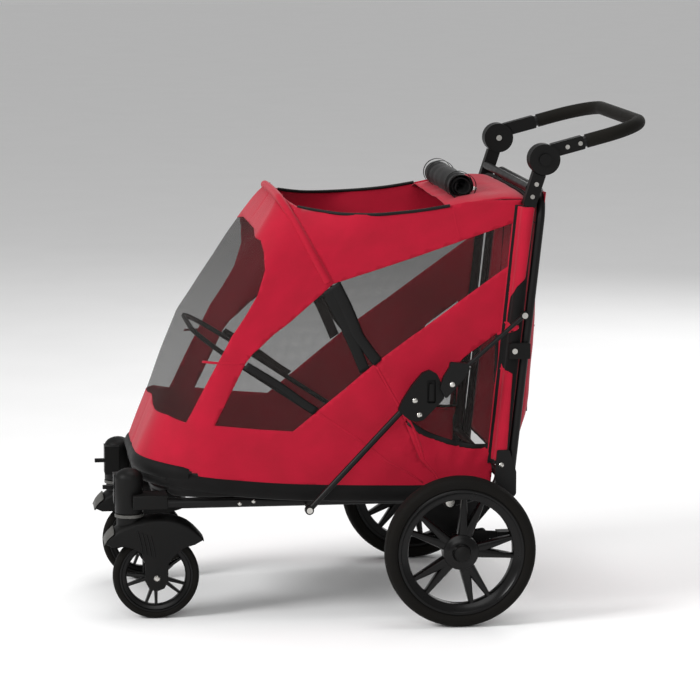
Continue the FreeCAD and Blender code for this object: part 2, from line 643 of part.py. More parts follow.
def bow(x, tip, corner):
    """A sprung wire hoop with an eye at each end, on the fold pins."""
    eye = toward((FOLD_Y, FOLD_Z), tip, FOLD_PIN_DIAMETER / 2 + 4)
    points = [vec(x, *eye), vec(x, *tip), vec(-x, *tip), vec(-x, *eye)]
    hoop = tube(points, [0, corner, corner, 0], BOW_WIRE)
    eyes = []
    for side in (-1, 1):
        low = side * x - BOW_WIRE / 2
        disc = pin(low, low + BOW_WIRE, FOLD_Y, FOLD_Z, FOLD_PIN_DIAMETER + 2 * BOW_EYE_WALL)
        bore = pin(low, low + BOW_WIRE, FOLD_Y, FOLD_Z, FOLD_PIN_DIAMETER + 2 * RUNNING_CLEARANCE)
        eyes.append(disc.cut(bore))
    clear = pin(-400, 400, FOLD_Y, FOLD_Z, FOLD_PIN_DIAMETER + 2 * RUNNING_CLEARANCE)
    return fused(hoop, *eyes).cut(clear)


def bows():
    save("top_bow", bow(TOP_BOW_X, (TOP_BOW_TIP_Y, TOP_BOW_TIP_Z), TOP_BOW_CORNER))
    save("front_bow", bow(FRONT_BOW_X, (FRONT_BOW_TIP_Y, FRONT_BOW_TIP_Z), FRONT_BOW_CORNER))

# ---------------------------------------------------------------- posts, gate and handle


def posts():
    """Each post runs down behind the cabin and forward to the fold pin."""
    foot = (POST_FOOT_Y, RAIL_Z + 22)
    for name, side in SIDES:
        points = [vec(POST_X, POST_TOP_Y, POST_TOP_Z), vec(POST_X, *foot),
                  vec(POST_X, FOLD_Y + 12, FOLD_Z)]
        post = tube(points, [0, POST_FOOT_BEND, 0], POST_DIAMETER, POST_WALL)
        eye = pin(POST_X - POST_DIAMETER / 2, POST_OUTER_X, FOLD_Y, FOLD_Z, POST_DIAMETER + 6)
        bore = pin(0, 400, FOLD_Y, FOLD_Z, FOLD_PIN_DIAMETER + 2 * RUNNING_CLEARANCE)
        save("post_" + name, mirrored(post.fuse(eye).cut(bore), side))


def post_line(z):
    """Y of the post's centre line at a height."""
    return POST_TOP_Y - (POST_TOP_Z - z) * (POST_TOP_Y - POST_FOOT_Y) / (POST_TOP_Z - RAIL_Z - 22)


def solid_posts():
    """Both posts' straight stretches with no bore, for cutting what fits on them."""
    post = bar(vec(POST_X, post_line(RAIL_Z), RAIL_Z), vec(POST_X, POST_TOP_Y, POST_TOP_Z),
               POST_DIAMETER)
    return post.fuse(mirrored(post, -1))


def post_bracing():
    """Cross tubes between the posts."""
    half = POST_X - POST_DIAMETER / 2
    bars = []
    for z in (LOWER_CROSSBAR_Z, ROOF_TOP + 13):
        y = post_line(z)
        reach = half if z < LEG_BOTTOM_Z else POST_X - LEG_WIDTH / 2
        bars.append(pin(-reach, reach, y, z, CROSSBAR_DIAMETER))
    posts_shape = solid_posts()
    save("post_crossbars", *[crossbar.cut(posts_shape) for crossbar in bars])


def post_feet():
    """Cheek plates at the foot of each post that carry the gate's pivots."""
    outline = [(post_line(345) - 13, 345), (post_line(345) + 12, 345), (GATE_PIVOT_Y + 13, 300),
               (GATE_PIVOT_Y + 13, GATE_PIVOT_Z - 12), (GATE_PIVOT_Y - 14, GATE_PIVOT_Z - 16),
               (post_line(300) - 13, 290)]
    cheek = plate(outline, [4, 4, 10, 10, 8, 8], POST_OUTER_X + 1.5, POST_OUTER_X + 5.5)
    pivot = pin(POST_X - GATE_HOOP_DIAMETER / 2 - 2, POST_OUTER_X + 5, GATE_PIVOT_Y, GATE_PIVOT_Z,
                GATE_PIN_DIAMETER)
    rivet = pin(POST_X + 5, POST_OUTER_X + 8, post_line(315), 315, 8)
    foot = fused(cheek, pivot, rivet).cut(solid_posts())
    save("post_feet", *foot.Solids, *mirrored(foot, -1).Solids)


def hub_parts():
    """Lower hub halves on the posts and upper hub halves on the handle, meeting at the pivot."""
    gap = MOVING_GAP / 2
    pivot = (HUB_Y, HUB_Z)
    lower_disc = pin(HUB_INNER_X, POST_X - gap, *pivot, 2 * HUB_RADIUS)
    upper_disc = pin(POST_X + gap, HUB_OUTER_X, *pivot, 2 * HUB_RADIUS)
    keep_out = 2 * (HUB_RADIUS + 1.5)
    half = LEG_WIDTH / 2
    leg = limb((LEG_BOTTOM_Y, LEG_BOTTOM_Z), pivot, LEG_DEPTH, POST_X - half, POST_X + half)
    leg = leg.cut(pin(POST_X - gap, HUB_OUTER_X + 1, *pivot, keep_out))
    arm = limb((ARM_END_Y, handle_line(ARM_END_Y)), arm_root(), LEG_DEPTH + 1, POST_X - half, POST_X + half)
    arm = arm.cut(pin(HUB_INNER_X - 1, POST_X + gap, *pivot, keep_out))
    handle = bar(vec(POST_X, HANDLE_START_Y, handle_line(HANDLE_START_Y)),
                 vec(POST_X, HANDLE_REAR_Y, handle_line(HANDLE_REAR_Y)), HANDLE_DIAMETER)
    crossbar = pin(0, POST_X - half, post_line(ROOF_TOP + 13), ROOF_TOP + 13, CROSSBAR_DIAMETER)
    bore = pin(HUB_INNER_X, HUB_OUTER_X - BUTTON_POCKET, *pivot,
               HUB_PIN_DIAMETER + 2 * RUNNING_CLEARANCE)
    pocket = pin(HUB_OUTER_X - BUTTON_POCKET, HUB_OUTER_X + 1, *pivot,
                 2 * (BUTTON_RADIUS + MOVING_GAP / 2))
    lower = lower_disc.fuse(leg).cut(solid_posts()).cut(crossbar)
    upper = upper_disc.fuse(arm).cut(handle).cut(pocket).cut(bore)
    pin_low = HUB_INNER_X - 2
    hub_pin = pin(pin_low, HUB_OUTER_X - BUTTON_POCKET - MOVING_GAP, *pivot, HUB_PIN_DIAMETER)
    lower = lower.cut(pin(pin_low, HUB_OUTER_X, *pivot, HUB_PIN_DIAMETER))
    button = pin(HUB_OUTER_X - BUTTON_POCKET + BUTTON_TRAVEL + MOVING_GAP,
                 HUB_OUTER_X + BUTTON_PROUD, *pivot, 2 * BUTTON_RADIUS)
    for name, side in SIDES:
        save("hub_lower_" + name, mirrored(lower, side))
        save("hub_upper_" + name, mirrored(upper, side))
        save("handle_button_" + name, mirrored(button, side))
    return hub_pin


def arm_root():
    """Where the handle's centre line passes over the hubs' pivot."""
    return (HUB_Y, HUB_Z + ARM_RISE)


def handle_line(y):
    """Z of the handle's centre line."""
    return HUB_Z + ARM_RISE + (y - HUB_Y) * HANDLE_RISE


def limb(end, pivot, depth, x_low, x_high):
    """A moulded arm from a root out to a rounded end."""
    length = math.dist(end, pivot)
    along = ((end[0] - pivot[0]) / length, (end[1] - pivot[1]) / length)
    half = depth / 2
    corners = [(pivot[0] + along[0] * s - along[1] * t, pivot[1] + along[1] * s + along[0] * t)
               for s, t in ((0, -half), (length, -half), (length, half), (0, half))]
    return plate(corners, [0, 3, 3, 0], x_low, x_high)


def rivet_groups(hub_pin):
    """Round-headed rivets through the hub legs and arms, and the struts' upper pins."""
    out = POST_X + LEG_WIDTH / 2
    body = []
    for distance in (52, 78):
        y, z = toward((HUB_Y, HUB_Z), (LEG_BOTTOM_Y, LEG_BOTTOM_Z), distance)
        body.append(pin(out, out + 2.5, y, z, 9))
    strut = pin(POST_OUTER_X - 2, KNUCKLE_HIGH_X + MOVING_GAP, STRUT_TOP_Y, STRUT_TOP_Z,
                STRUT_PIN_DIAMETER)
    head = pin(KNUCKLE_HIGH_X + MOVING_GAP, KNUCKLE_HIGH_X + 3, STRUT_TOP_Y, STRUT_TOP_Z, 12)
    clip_low = POST_OUTER_X + 2 * MOVING_GAP
    clip_high = clip_low + CLIP_THICKNESS
    clip_y = post_line(CLIP_Z)
    clip = fused(pin(POST_OUTER_X - 2, clip_high + 3, clip_y, CLIP_Z, CLIP_PIN_DIAMETER),
                 pin(clip_high + MOVING_GAP, clip_high + 3, clip_y, CLIP_Z, 11))
    body += [fused(strut, head).cut(solid_posts()), clip.cut(solid_posts()), hub_pin]
    save("post_rivets", *body, *[mirrored(piece, -1) for piece in body])
    upper = []
    for y in ARM_RIVETS:
        z = handle_line(y)
        upper.append(pin(out, out + 2.5, y, z, 9))
    save("handle_rivets", *upper, *[mirrored(piece, -1) for piece in upper])


def handle():
    """A bent push tube with a foam grip all round its U."""
    start = handle_line(HANDLE_START_Y)
    rear = handle_line(HANDLE_REAR_Y)
    points = [vec(POST_X, HANDLE_START_Y, start), vec(POST_X, HANDLE_REAR_Y, rear),
              vec(-POST_X, HANDLE_REAR_Y, rear), vec(-POST_X, HANDLE_START_Y, start)]
    radii = [0, HANDLE_CORNER, HANDLE_CORNER, 0]
    save("handle_tube", tube(points, radii, HANDLE_DIAMETER, HANDLE_WALL))
    points[0] = vec(POST_X, GRIP_START_Y, handle_line(GRIP_START_Y))
    points[-1] = vec(-POST_X, GRIP_START_Y, handle_line(GRIP_START_Y))
    save("handle_grip", tube(points, radii, GRIP_DIAMETER, (GRIP_DIAMETER - HANDLE_DIAMETER) / 2))


def gate():
    """A hoop hinged low on the posts, with a fabric pouch stretched over it."""
    x = POST_X
    pivot = (GATE_PIVOT_Y, GATE_PIVOT_Z)
    start = toward(pivot, (GATE_TOP_Y, GATE_TOP_Z), GATE_HOOP_DIAMETER / 2)
    points = [vec(x, *start), vec(x, GATE_TOP_Y, GATE_TOP_Z),
              vec(-x, GATE_TOP_Y, GATE_TOP_Z), vec(-x, *start)]
    radii = [0, GATE_CORNER, GATE_CORNER, 0]
    hoop = tube(points, radii, GATE_HOOP_DIAMETER, GATE_HOOP_WALL)
    eye = GATE_HOOP_DIAMETER / 2 + 0.5
    bore = pin(-x - eye, x + eye, *pivot, GATE_PIN_DIAMETER + 2 * RUNNING_CLEARANCE)
    ends = [pin(side * x - eye, side * x + eye, *pivot, GATE_HOOP_DIAMETER + 6).cut(bore)
            for side in (-1, 1)]
    save("gate_hoop", fused(hoop, *ends))
    lean = (GATE_TOP_Y - GATE_PIVOT_Y) / (GATE_TOP_Z - GATE_PIVOT_Z)

    def hoop_line(z):
        return GATE_PIVOT_Y + (z - GATE_PIVOT_Z) * lean

    back = list(GATE_PANEL_BACK)
    inside = [(y - FABRIC, z) for y, z in back]
    front_edge = [(hoop_line(z) + 1, z) for z in (back[-1][1], back[0][1])]
    half = GATE_PANEL_HALF_WIDTH
    strip = plate(back + inside[::-1], 0, -half, half)
    gussets = [plate(back + [front_edge[0], front_edge[1]], 0, side * half - FABRIC / 2,
                     side * half + FABRIC / 2) for side in (-1, 1)]
    room = tube(points, radii, GATE_HOOP_DIAMETER + 2 * MOVING_GAP)
    save("gate_panel", fused(strip, *gussets).cut(room))


def gate_clips():
    """Turning clips on the posts that hold the gate's hoop."""
    y = post_line(CLIP_Z)
    low = POST_OUTER_X + 2 * MOVING_GAP
    high = low + CLIP_THICKNESS
    half = CLIP_HEIGHT / 2
    clip = plate([(y - 11, CLIP_Z - half), (y + 32, CLIP_Z - half), (y + 32, CLIP_Z + half),
                  (y - 11, CLIP_Z + half)], 3, low, high)
    clip = clip.cut(pin(low, high, y, CLIP_Z, CLIP_PIN_DIAMETER + 2 * RUNNING_CLEARANCE))
    for name, side in SIDES:
        save("gate_clip_" + name, mirrored(clip, side))

# ---------------------------------------------------------------- struts


def lower_struts():
    """Tube from the rail up into a moulded latch housing, and the trigger in the housing."""
    low = (STRUT_LOW_Y, STRUT_LOW_Z)
    mouth = from_knuckle(HOUSING_MOUTH)
    start = vec(STRUT_TUBE_X, *toward(low, mouth, STRUT_PIN_DIAMETER))
    end = vec(STRUT_TUBE_X, *toward(low, mouth, math.dist(low, mouth) + 46))
    eye = pin(STRUT_TUBE_X - 5, HOUSING_HIGH_X - MOVING_GAP, *low, 18)
    bore = pin(0, 400, *low, STRUT_PIN_DIAMETER + 2 * RUNNING_CLEARANCE)
    straight = bar(start, end, STRUT_TUBE)
    strut = straight.fuse(eye).cut(bore)
    outline = [from_knuckle(point) for point in HOUSING_OUTLINE]
    housing = plate(outline, 7, HOUSING_LOW_X, HOUSING_HIGH_X)
    pocket_floor = HOUSING_HIGH_X - TRIGGER_DEPTH
    y, z = from_knuckle(TRIGGER_PIVOT)
    slot = plate([(y - 9, z - 9), (y + 9, z - 9), (y + 9, z + 38), (y - 9, z + 38)], 4,
                 pocket_floor, HOUSING_HIGH_X + 1)
    lever = plate([(y - 5, z - 5), (y + 5, z - 5), (y + 4, z + 30), (y - 4, z + 30)], 3,
                  pocket_floor + MOVING_GAP, HOUSING_HIGH_X - MOVING_GAP)
    axle = pin(pocket_floor - 3, HOUSING_HIGH_X - MOVING_GAP, y, z, 4)
    hole = pin(pocket_floor - 3.5, HOUSING_HIGH_X, y, z, 4 + 2 * RUNNING_CLEARANCE)
    return strut, housing.cut(straight).cut(slot).cut(hole), lever.fuse(axle)


def from_knuckle(offset):
    """A (y, z) place given from the knuckle's rivet."""
    return (KNUCKLE_Y + offset[0], KNUCKLE_Z + offset[1])


def upper_strut():
    """Hooked knuckle and the rod from it up to the post."""
    low = from_knuckle(ROD_MOUTH)
    top = (STRUT_TOP_Y, STRUT_TOP_Z)
    outline = [from_knuckle(point) for point in KNUCKLE_OUTLINE]
    knuckle = plate(outline, 4, KNUCKLE_LOW_X, KNUCKLE_HIGH_X)
    rod = bar(vec(KNUCKLE_MID_X, *toward(low, top, -14)),
              vec(KNUCKLE_MID_X, *toward(top, low, STRUT_PIN_DIAMETER)), STRUT_ROD)
    eye = pin(KNUCKLE_LOW_X, KNUCKLE_HIGH_X, *top, 16)
    bore = pin(0, 400, *top, STRUT_PIN_DIAMETER + 2 * RUNNING_CLEARANCE)
    rivet = pin(KNUCKLE_HIGH_X, KNUCKLE_HIGH_X + 2, KNUCKLE_Y, KNUCKLE_Z, 11)
    return fused(knuckle, rod, eye, rivet).cut(bore)


def struts():
    lower, housing, trigger = lower_struts()
    upper = upper_strut()
    for name, side in SIDES:
        save("strut_lower_" + name, mirrored(lower, side))
        save("latch_housing_" + name, mirrored(housing, side))
        save("latch_trigger_" + name, mirrored(trigger, side))
        save("strut_upper_" + name, mirrored(upper, side))

# ---------------------------------------------------------------- build


rear_wheels()
front_wheels()
forks()
rails()
crossbars()
axle_brackets()
caster_mounts()
swivel_locks()
chassis_rivets()
brakes()
cabin()
floor()
bows()
posts()
post_bracing()
post_feet()
rivet_groups(hub_parts())
handle()
gate()
gate_clips()
struts()
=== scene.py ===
"""Looks of a folding pet stroller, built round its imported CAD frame.

Every object is in metres in the frame's own axes: +Z is up, the front points to -Y and the stroller's left to +X.
Sizes in the classes are millimetres.  Y is measured there from the rear axle line and Z from the floor, and at()
turns such a place into the frame's.
"""
import json
import logging
import math
from collections.abc import Callable, Sequence
from dataclasses import dataclass
from enum import Enum

import bmesh
import bpy
from mathutils import Matrix, Vector, noise
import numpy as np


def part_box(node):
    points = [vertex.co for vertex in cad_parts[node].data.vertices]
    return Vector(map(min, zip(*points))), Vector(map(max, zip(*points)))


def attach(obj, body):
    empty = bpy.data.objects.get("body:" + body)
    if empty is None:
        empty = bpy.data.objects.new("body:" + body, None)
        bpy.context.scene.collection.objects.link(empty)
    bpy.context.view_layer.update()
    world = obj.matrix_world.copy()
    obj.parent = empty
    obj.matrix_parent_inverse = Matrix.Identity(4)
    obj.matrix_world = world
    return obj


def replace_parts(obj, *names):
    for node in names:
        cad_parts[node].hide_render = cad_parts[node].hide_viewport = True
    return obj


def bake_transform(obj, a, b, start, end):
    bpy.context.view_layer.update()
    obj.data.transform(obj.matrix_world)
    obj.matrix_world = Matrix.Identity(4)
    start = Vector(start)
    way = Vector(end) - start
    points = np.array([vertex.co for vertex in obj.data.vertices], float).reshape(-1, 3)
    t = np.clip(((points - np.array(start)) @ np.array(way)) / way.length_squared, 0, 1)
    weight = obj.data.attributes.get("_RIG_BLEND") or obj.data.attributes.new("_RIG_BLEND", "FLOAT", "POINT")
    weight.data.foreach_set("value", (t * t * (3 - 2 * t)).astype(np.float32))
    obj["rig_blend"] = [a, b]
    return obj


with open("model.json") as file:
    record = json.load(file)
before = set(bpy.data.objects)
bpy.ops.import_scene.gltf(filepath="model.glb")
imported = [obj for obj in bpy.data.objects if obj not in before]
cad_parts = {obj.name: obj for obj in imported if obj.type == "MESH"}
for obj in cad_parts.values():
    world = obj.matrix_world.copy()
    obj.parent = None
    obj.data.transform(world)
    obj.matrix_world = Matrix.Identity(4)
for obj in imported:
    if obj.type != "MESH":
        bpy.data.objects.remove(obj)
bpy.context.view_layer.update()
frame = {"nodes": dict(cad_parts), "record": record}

logging.basicConfig(level=logging.INFO, format="%(levelname)s %(message)s")
LOG = logging.getLogger("stroller")

MM = 0.001
SIDES = (("left", 1), ("right", -1))
Flat = tuple[float, float]


def axle_line() -> Flat:
    """Returns: Y and Z of the rear axle's centre line, in metres."""
    low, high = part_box("rear_axle")
    return (low[1] + high[1]) / 2, (low[2] + high[2]) / 2


AXLE_Y, AXLE_Z = axle_line()


def at(x: float, y: float, z: float) -> Vector:
    """Turns millimetres, with Y from the rear axle, into a place in the frame.

    Args:
        x: towards the stroller's left.
        y: behind the rear axle.
        z: above the floor.

    Returns:
        The place in metres.
    """
    return Vector((x * MM, AXLE_Y + y * MM, z * MM))


# ------------------------------------------------------------------------------------------------ materials


def linear(colour: str) -> tuple[float, float, float, float]:
    """Turns an sRGB hex value such as "#a01020" into linear RGBA.

    Args:
        colour: seven characters, with the hash.

    Returns:
        Four numbers for a colour socket.
    """
    parts = [int(colour[i:i + 2], 16) / 255 for i in (1, 3, 5)]
    return (*(c / 12.92 if c <= 0.04045 else ((c + 0.055) / 1.055) ** 2.4 for c in parts), 1.0)


def add(tree: bpy.types.NodeTree, kind: str, sockets: dict | None = None, **settings) -> bpy.types.Node:
    """Adds a node.

    Args:
        tree: the material's node tree.
        kind: the node's type name.
        sockets: input names or numbers, each with a value or with the output that feeds it.
        settings: the node's own properties.

    Returns:
        The new node.
    """
    node = tree.nodes.new(kind)
    for name, value in settings.items():
        setattr(node, name, value)
    for name, value in (sockets or {}).items():
        if isinstance(value, bpy.types.NodeSocket):
            tree.links.new(value, node.inputs[name])
        else:
            node.inputs[name].default_value = value
    return node


class Pattern(Enum):
    """Where a finish reads its pattern from."""

    OBJECT = "Object"
    CLOTH = "UV"


@dataclass(frozen=True)
class Finish:
    """A real material: its colour, how it reflects, and the relief and mottling its making leaves."""

    name: str
    colour: str
    shade: str
    roughness: float
    spread: float = 0.06
    metallic: float = 0.0
    ior: float = 1.5
    specular: float = 0.35
    follows: Pattern = Pattern.OBJECT
    coat: float = 0.0
    sheen: float = 0.0
    sheen_roughness: float = 0.5
    grain: float = 0.8
    patch: float = 40.0
    bump: float = 0.25
    depth: float = 0.1

    def ground(self) -> tuple[bpy.types.Material, bpy.types.NodeTree, bpy.types.NodeSocket]:
        """Returns: a new empty material, its tree, and the coordinates in metres that its pattern reads."""
        material = bpy.data.materials.new(self.name)
        material.use_nodes = True
        tree = material.node_tree
        tree.nodes.clear()
        place = add(tree, "ShaderNodeTexCoord")
        return material, tree, place.outputs[self.follows.value]

    def relief(self, tree: bpy.types.NodeTree, place: bpy.types.NodeSocket) -> bpy.types.NodeSocket:
        """The surface's fine relief, here the fine grain of a moulding or a coat.

        Args:
            tree: the material's node tree.
            place: coordinates in metres.

        Returns:
            The height's socket, 0 to 1.
        """
        grain = add(tree, "ShaderNodeTexNoise", {"Vector": place, "Scale": 1 / (self.grain * MM), "Detail": 2.0})
        return grain.outputs["Fac"]

    def make(self) -> bpy.types.Material:
        """Returns: the finished material."""
        material, tree, place = self.ground()
        height = self.relief(tree, place)
        patches = add(tree, "ShaderNodeTexNoise", {"Vector": place, "Scale": 1 / (self.patch * MM), "Detail": 4.0})
        patch = add(tree, "ShaderNodeMapRange", {"Value": patches.outputs["Fac"], "From Min": 0.3, "From Max": 0.7})
        both = add(tree, "ShaderNodeMath", {0: patch.outputs[0], 1: height}, operation="ADD")
        share = add(tree, "ShaderNodeMath", {0: both.outputs[0], 1: 0.5}, operation="MULTIPLY")
        colour = add(tree, "ShaderNodeValToRGB", {"Fac": share.outputs[0]})
        colour.color_ramp.elements[0].color = linear(self.shade)
        colour.color_ramp.elements[1].color = linear(self.colour)
        gloss = add(tree, "ShaderNodeMapRange", {"Value": patches.outputs["Fac"], "From Min": 0.3, "From Max": 0.7,
                                                 "To Min": max(self.roughness - self.spread, 0.02),
                                                 "To Max": min(self.roughness + self.spread, 1.0)})
        bump = add(tree, "ShaderNodeBump", {"Height": height, "Strength": self.bump, "Distance": self.depth * MM})
        shader = add(tree, "ShaderNodeBsdfPrincipled", {
            "Base Color": colour.outputs["Color"], "Roughness": gloss.outputs[0], "Metallic": self.metallic,
            "IOR": self.ior, "Specular IOR Level": self.specular, "Coat Weight": self.coat, "Coat Roughness": 0.12,
            "Sheen Weight": self.sheen, "Sheen Roughness": self.sheen_roughness, "Normal": bump.outputs[0]})
        self.surface(tree, place, shader)
        return material

    def surface(self, tree: bpy.types.NodeTree, place: bpy.types.NodeSocket, shader: bpy.types.Node) -> None:
        """Joins the shader to the output.

        Args:
            tree: the material's node tree.
            place: coordinates in metres.
            shader: the principled shader.
        """
        add(tree, "ShaderNodeOutputMaterial", {"Surface": shader.outputs[0]})


@dataclass(frozen=True)
class Woven(Finish):
    """Plain-woven cloth: two crossing sets of threads, a thread spacing apart."""

    thread: float = 1.4
    follows: Pattern = Pattern.CLOTH

    def relief(self, tree: bpy.types.NodeTree, place: bpy.types.NodeSocket) -> bpy.types.NodeSocket:
        """Warp and weft as two crossed waves, roughened as spun yarn is.

        Args:
            tree: the material's node tree.
            place: coordinates in metres.

        Returns:
            The height's socket, 0 to 1.
        """
        waves = [add(tree, "ShaderNodeTexWave", {"Vector": place, "Scale": math.pi / (10 * self.thread * MM),
                                                 "Distortion": 0.6, "Detail": 1.0},
                     wave_type="BANDS", bands_direction=direction).outputs["Fac"] for direction in ("X", "Y")]
        cross = add(tree, "ShaderNodeMath", {0: waves[0], 1: waves[1]}, operation="MULTIPLY")
        yarn = add(tree, "ShaderNodeTexNoise", {"Vector": place, "Scale": 1 / (2.5 * self.thread * MM),
                                                "Detail": 3.0})
        both = add(tree, "ShaderNodeMath", {0: cross.outputs[0], 1: yarn.outputs["Fac"]}, operation="ADD")
        return add(tree, "ShaderNodeMath", {0: both.outputs[0], 1: 0.5}, operation="MULTIPLY").outputs[0]


@dataclass(frozen=True)
class Netting(Woven):
    """Window net: thin threads with open holes between, seen through as a grey haze."""

    cover_low: float = 0.36
    cover_high: float = 0.62

    def surface(self, tree: bpy.types.NodeTree, place: bpy.types.NodeSocket, shader: bpy.types.Node) -> None:
        """Opens the holes between the threads.

        Args:
            tree: the material's node tree.
            place: coordinates in metres.
            shader: the principled shader.
        """
        waves = [add(tree, "ShaderNodeTexWave", {"Vector": place, "Scale": math.pi / (10 * self.thread * MM)},
                     wave_type="BANDS", bands_direction=direction).outputs["Fac"] for direction in ("X", "Y")]
        thread = add(tree, "ShaderNodeMath", {0: waves[0], 1: waves[1]}, operation="MAXIMUM")
        cover = add(tree, "ShaderNodeMapRange", {"Value": thread.outputs[0], "From Min": 0.2, "From Max": 1.0,
                                                 "To Min": self.cover_low, "To Max": self.cover_high})
        tree.links.new(cover.outputs[0], shader.inputs["Alpha"])
        super().surface(tree, place, shader)


# Polyester canvas, woven and dyed: a soft matt face with a faint fuzz.  Its thread is drawn coarser
# than real, to show at all.
RED_CANVAS = Woven("red_polyester_canvas", "#b01530", "#950d24", 0.8, 0.06, specular=0.16, sheen=0.12,
                   sheen_roughness=0.4, bump=0.5, depth=0.3, patch=60.0, thread=1.6)
# The same canvas in black, for the band, the gate and the bindings.
BLACK_CANVAS = Woven("black_polyester_canvas", "#0a0909", "#060505", 0.68, 0.08, specular=0.12, sheen=0.06, bump=0.5,
                     depth=0.3, patch=60.0, thread=1.6)
# Black canvas over foam.  A remeshed pad has no map, so its weave lies square to the stroller.
PAD_CANVAS = Woven("black_quilted_canvas", "#1b1917", "#100f0e", 0.7, 0.06, specular=0.25, sheen=0.1, bump=0.5,
                   depth=0.3, patch=60.0, thread=1.8, follows=Pattern.OBJECT)
# Folded grosgrain tape sewn over raw edges: ribbed, with a little more gloss than the canvas.
BLACK_TAPE = Woven("black_grosgrain_tape", "#0b0a09", "#050505", 0.55, 0.08, specular=0.2, bump=0.5, depth=0.4,
                   thread=2.2)
# Knitted polyester window net.  The holes are drawn at 2 mm, about twice the real pitch, to show at all.
WINDOW_NET = Netting("black_window_net", "#2b2826", "#1c1a19", 0.75, 0.05, specular=0.2, bump=0.2, depth=0.15,
                     thread=2.0)
# Steel tube with a satin black powder coat: a very fine orange peel.
POWDER_COAT = Finish("black_powder_coated_steel", "#080707", "#050505", 0.42, 0.06, specular=0.2, bump=0.12,
                     depth=0.05, grain=1.2)
# Glass-filled nylon, moulded with a fine spark texture: near black, with dull highlights.
NYLON = Finish("black_moulded_nylon", "#0b0a09", "#060606", 0.52, 0.06, specular=0.16, bump=0.3, depth=0.06,
               grain=0.7)
# ABS moulded against a polished tool: glossy black.
RIM_ABS = Finish("gloss_black_moulded_abs", "#070606", "#040404", 0.3, 0.05, specular=0.18, coat=0.05, bump=0.05,
                 depth=0.04, grain=3.0)
# Foam-filled rubber: matt, grey with dust on the shoulders.
TYRE_RUBBER = Finish("matt_black_foam_rubber", "#12100d", "#0a0908", 0.78, 0.08, specular=0.12, bump=0.4,
                     depth=0.12, grain=1.0, patch=30.0)
# Closed-cell foam sleeve with a skin: dull, very finely pored.
GRIP_FOAM = Finish("black_foam_grip", "#161410", "#0d0c09", 0.84, 0.06, specular=0.15, bump=0.5, depth=0.12,
                   grain=1.1)
# Zinc-plated steel, pressed into round heads.
ZINC = Finish("bright_zinc_plated_steel", "#c9c7c2", "#a9a7a2", 0.24, 0.08, metallic=1.0, bump=0.08, depth=0.03,
              grain=1.5)
# Pale grey nylon: the swivel ring, and the painted highlight along the nylon mudguard's front lip.
PALE_GREY_NYLON = Finish("scuffed_moulded_nylon", "#5d5c59", "#353431", 0.6, 0.08, bump=0.3, depth=0.08, grain=0.7,
                       patch=18.0)
# Grey PVC cord sewn into the seam under the band.
GREY_PIPING = Finish("grey_pvc_piping", "#57544f", "#403e3a", 0.45, 0.06, bump=0.15, depth=0.05, grain=1.0)
FLOOR_PAINT = Finish("pale_painted_floor", "#fcfcfc", "#f8f8f8", 0.8, 0.04, specular=0.2, bump=0.02, depth=0.05,
                     grain=6.0, patch=300.0)

_made: dict[str, bpy.types.Material] = {}


def material(finish: Finish) -> bpy.types.Material:
    """Makes a finish's material once.

    Args:
        finish: what it is.

    Returns:
        The one material for it.
    """
    if finish.name not in _made:
        _made[finish.name] = finish.make()
    return _made[finish.name]


# ------------------------------------------------------------------------------------------------ shape helpers


def piece_from(bm: bmesh.types.BMesh, name: str, finish: Finish, sharp: float = 35.0, outward: bool = True
               ) -> bpy.types.Object:
    """Makes an object of a finished bmesh, smooth but for its hard edges.

    Args:
        bm: the shape, which is freed.
        name: the piece's name.
        finish: its finish.
        sharp: edges bent by more than this many degrees stay hard.
        outward: whether its faces are turned outwards first, which suits a closed shape.

    Returns:
        The object, at the origin.
    """
    if outward:
        bmesh.ops.recalc_face_normals(bm, faces=bm.faces[:])
    mesh = bpy.data.meshes.new(name)
    bm.to_mesh(mesh)
    bm.free()
    mesh.polygons.foreach_set("use_smooth", [True] * len(mesh.polygons))
    mesh.set_sharp_from_angle(angle=math.radians(sharp))
    mesh.materials.append(material(finish))
    obj = bpy.data.objects.new(name, mesh)
    bpy.context.scene.collection.objects.link(obj)
    return obj


def sheet_mesh(steps: Flat, shape: Callable[[float, float], Vector], size: Flat = (1.0, 1.0), closed: bool = False,
               bm: bmesh.types.BMesh | None = None) -> bmesh.types.BMesh:
    """A grid laid over a surface, with a map in metres along and across it.

    Args:
        steps: how many faces along and across.
        shape: the place for u along and v across, each 0 to 1.
        size: the surface's real length and width in metres, for the map.
        closed: whether the far edge across joins the near one.
        bm: a bmesh to add to.

    Returns:
        The bmesh.
    """
    bm = bm or bmesh.new()
    layer = bm.loops.layers.uv.verify()
    made = bmesh.ops.create_grid(bm, x_segments=int(steps[0]), y_segments=int(steps[1]), size=0.5)["verts"]
    flat = {v: (v.co.x + 0.5, v.co.y + 0.5) for v in made}
    for face in {f for v in made for f in v.link_faces}:
        for loop in face.loops:
            u, v = flat[loop.vert]
            loop[layer].uv = (u * size[0], v * size[1])
    for v, (along, across) in flat.items():
        v.co = shape(along, across)
    if closed:
        bmesh.ops.remove_doubles(bm, verts=made, dist=1e-6)
    return bm


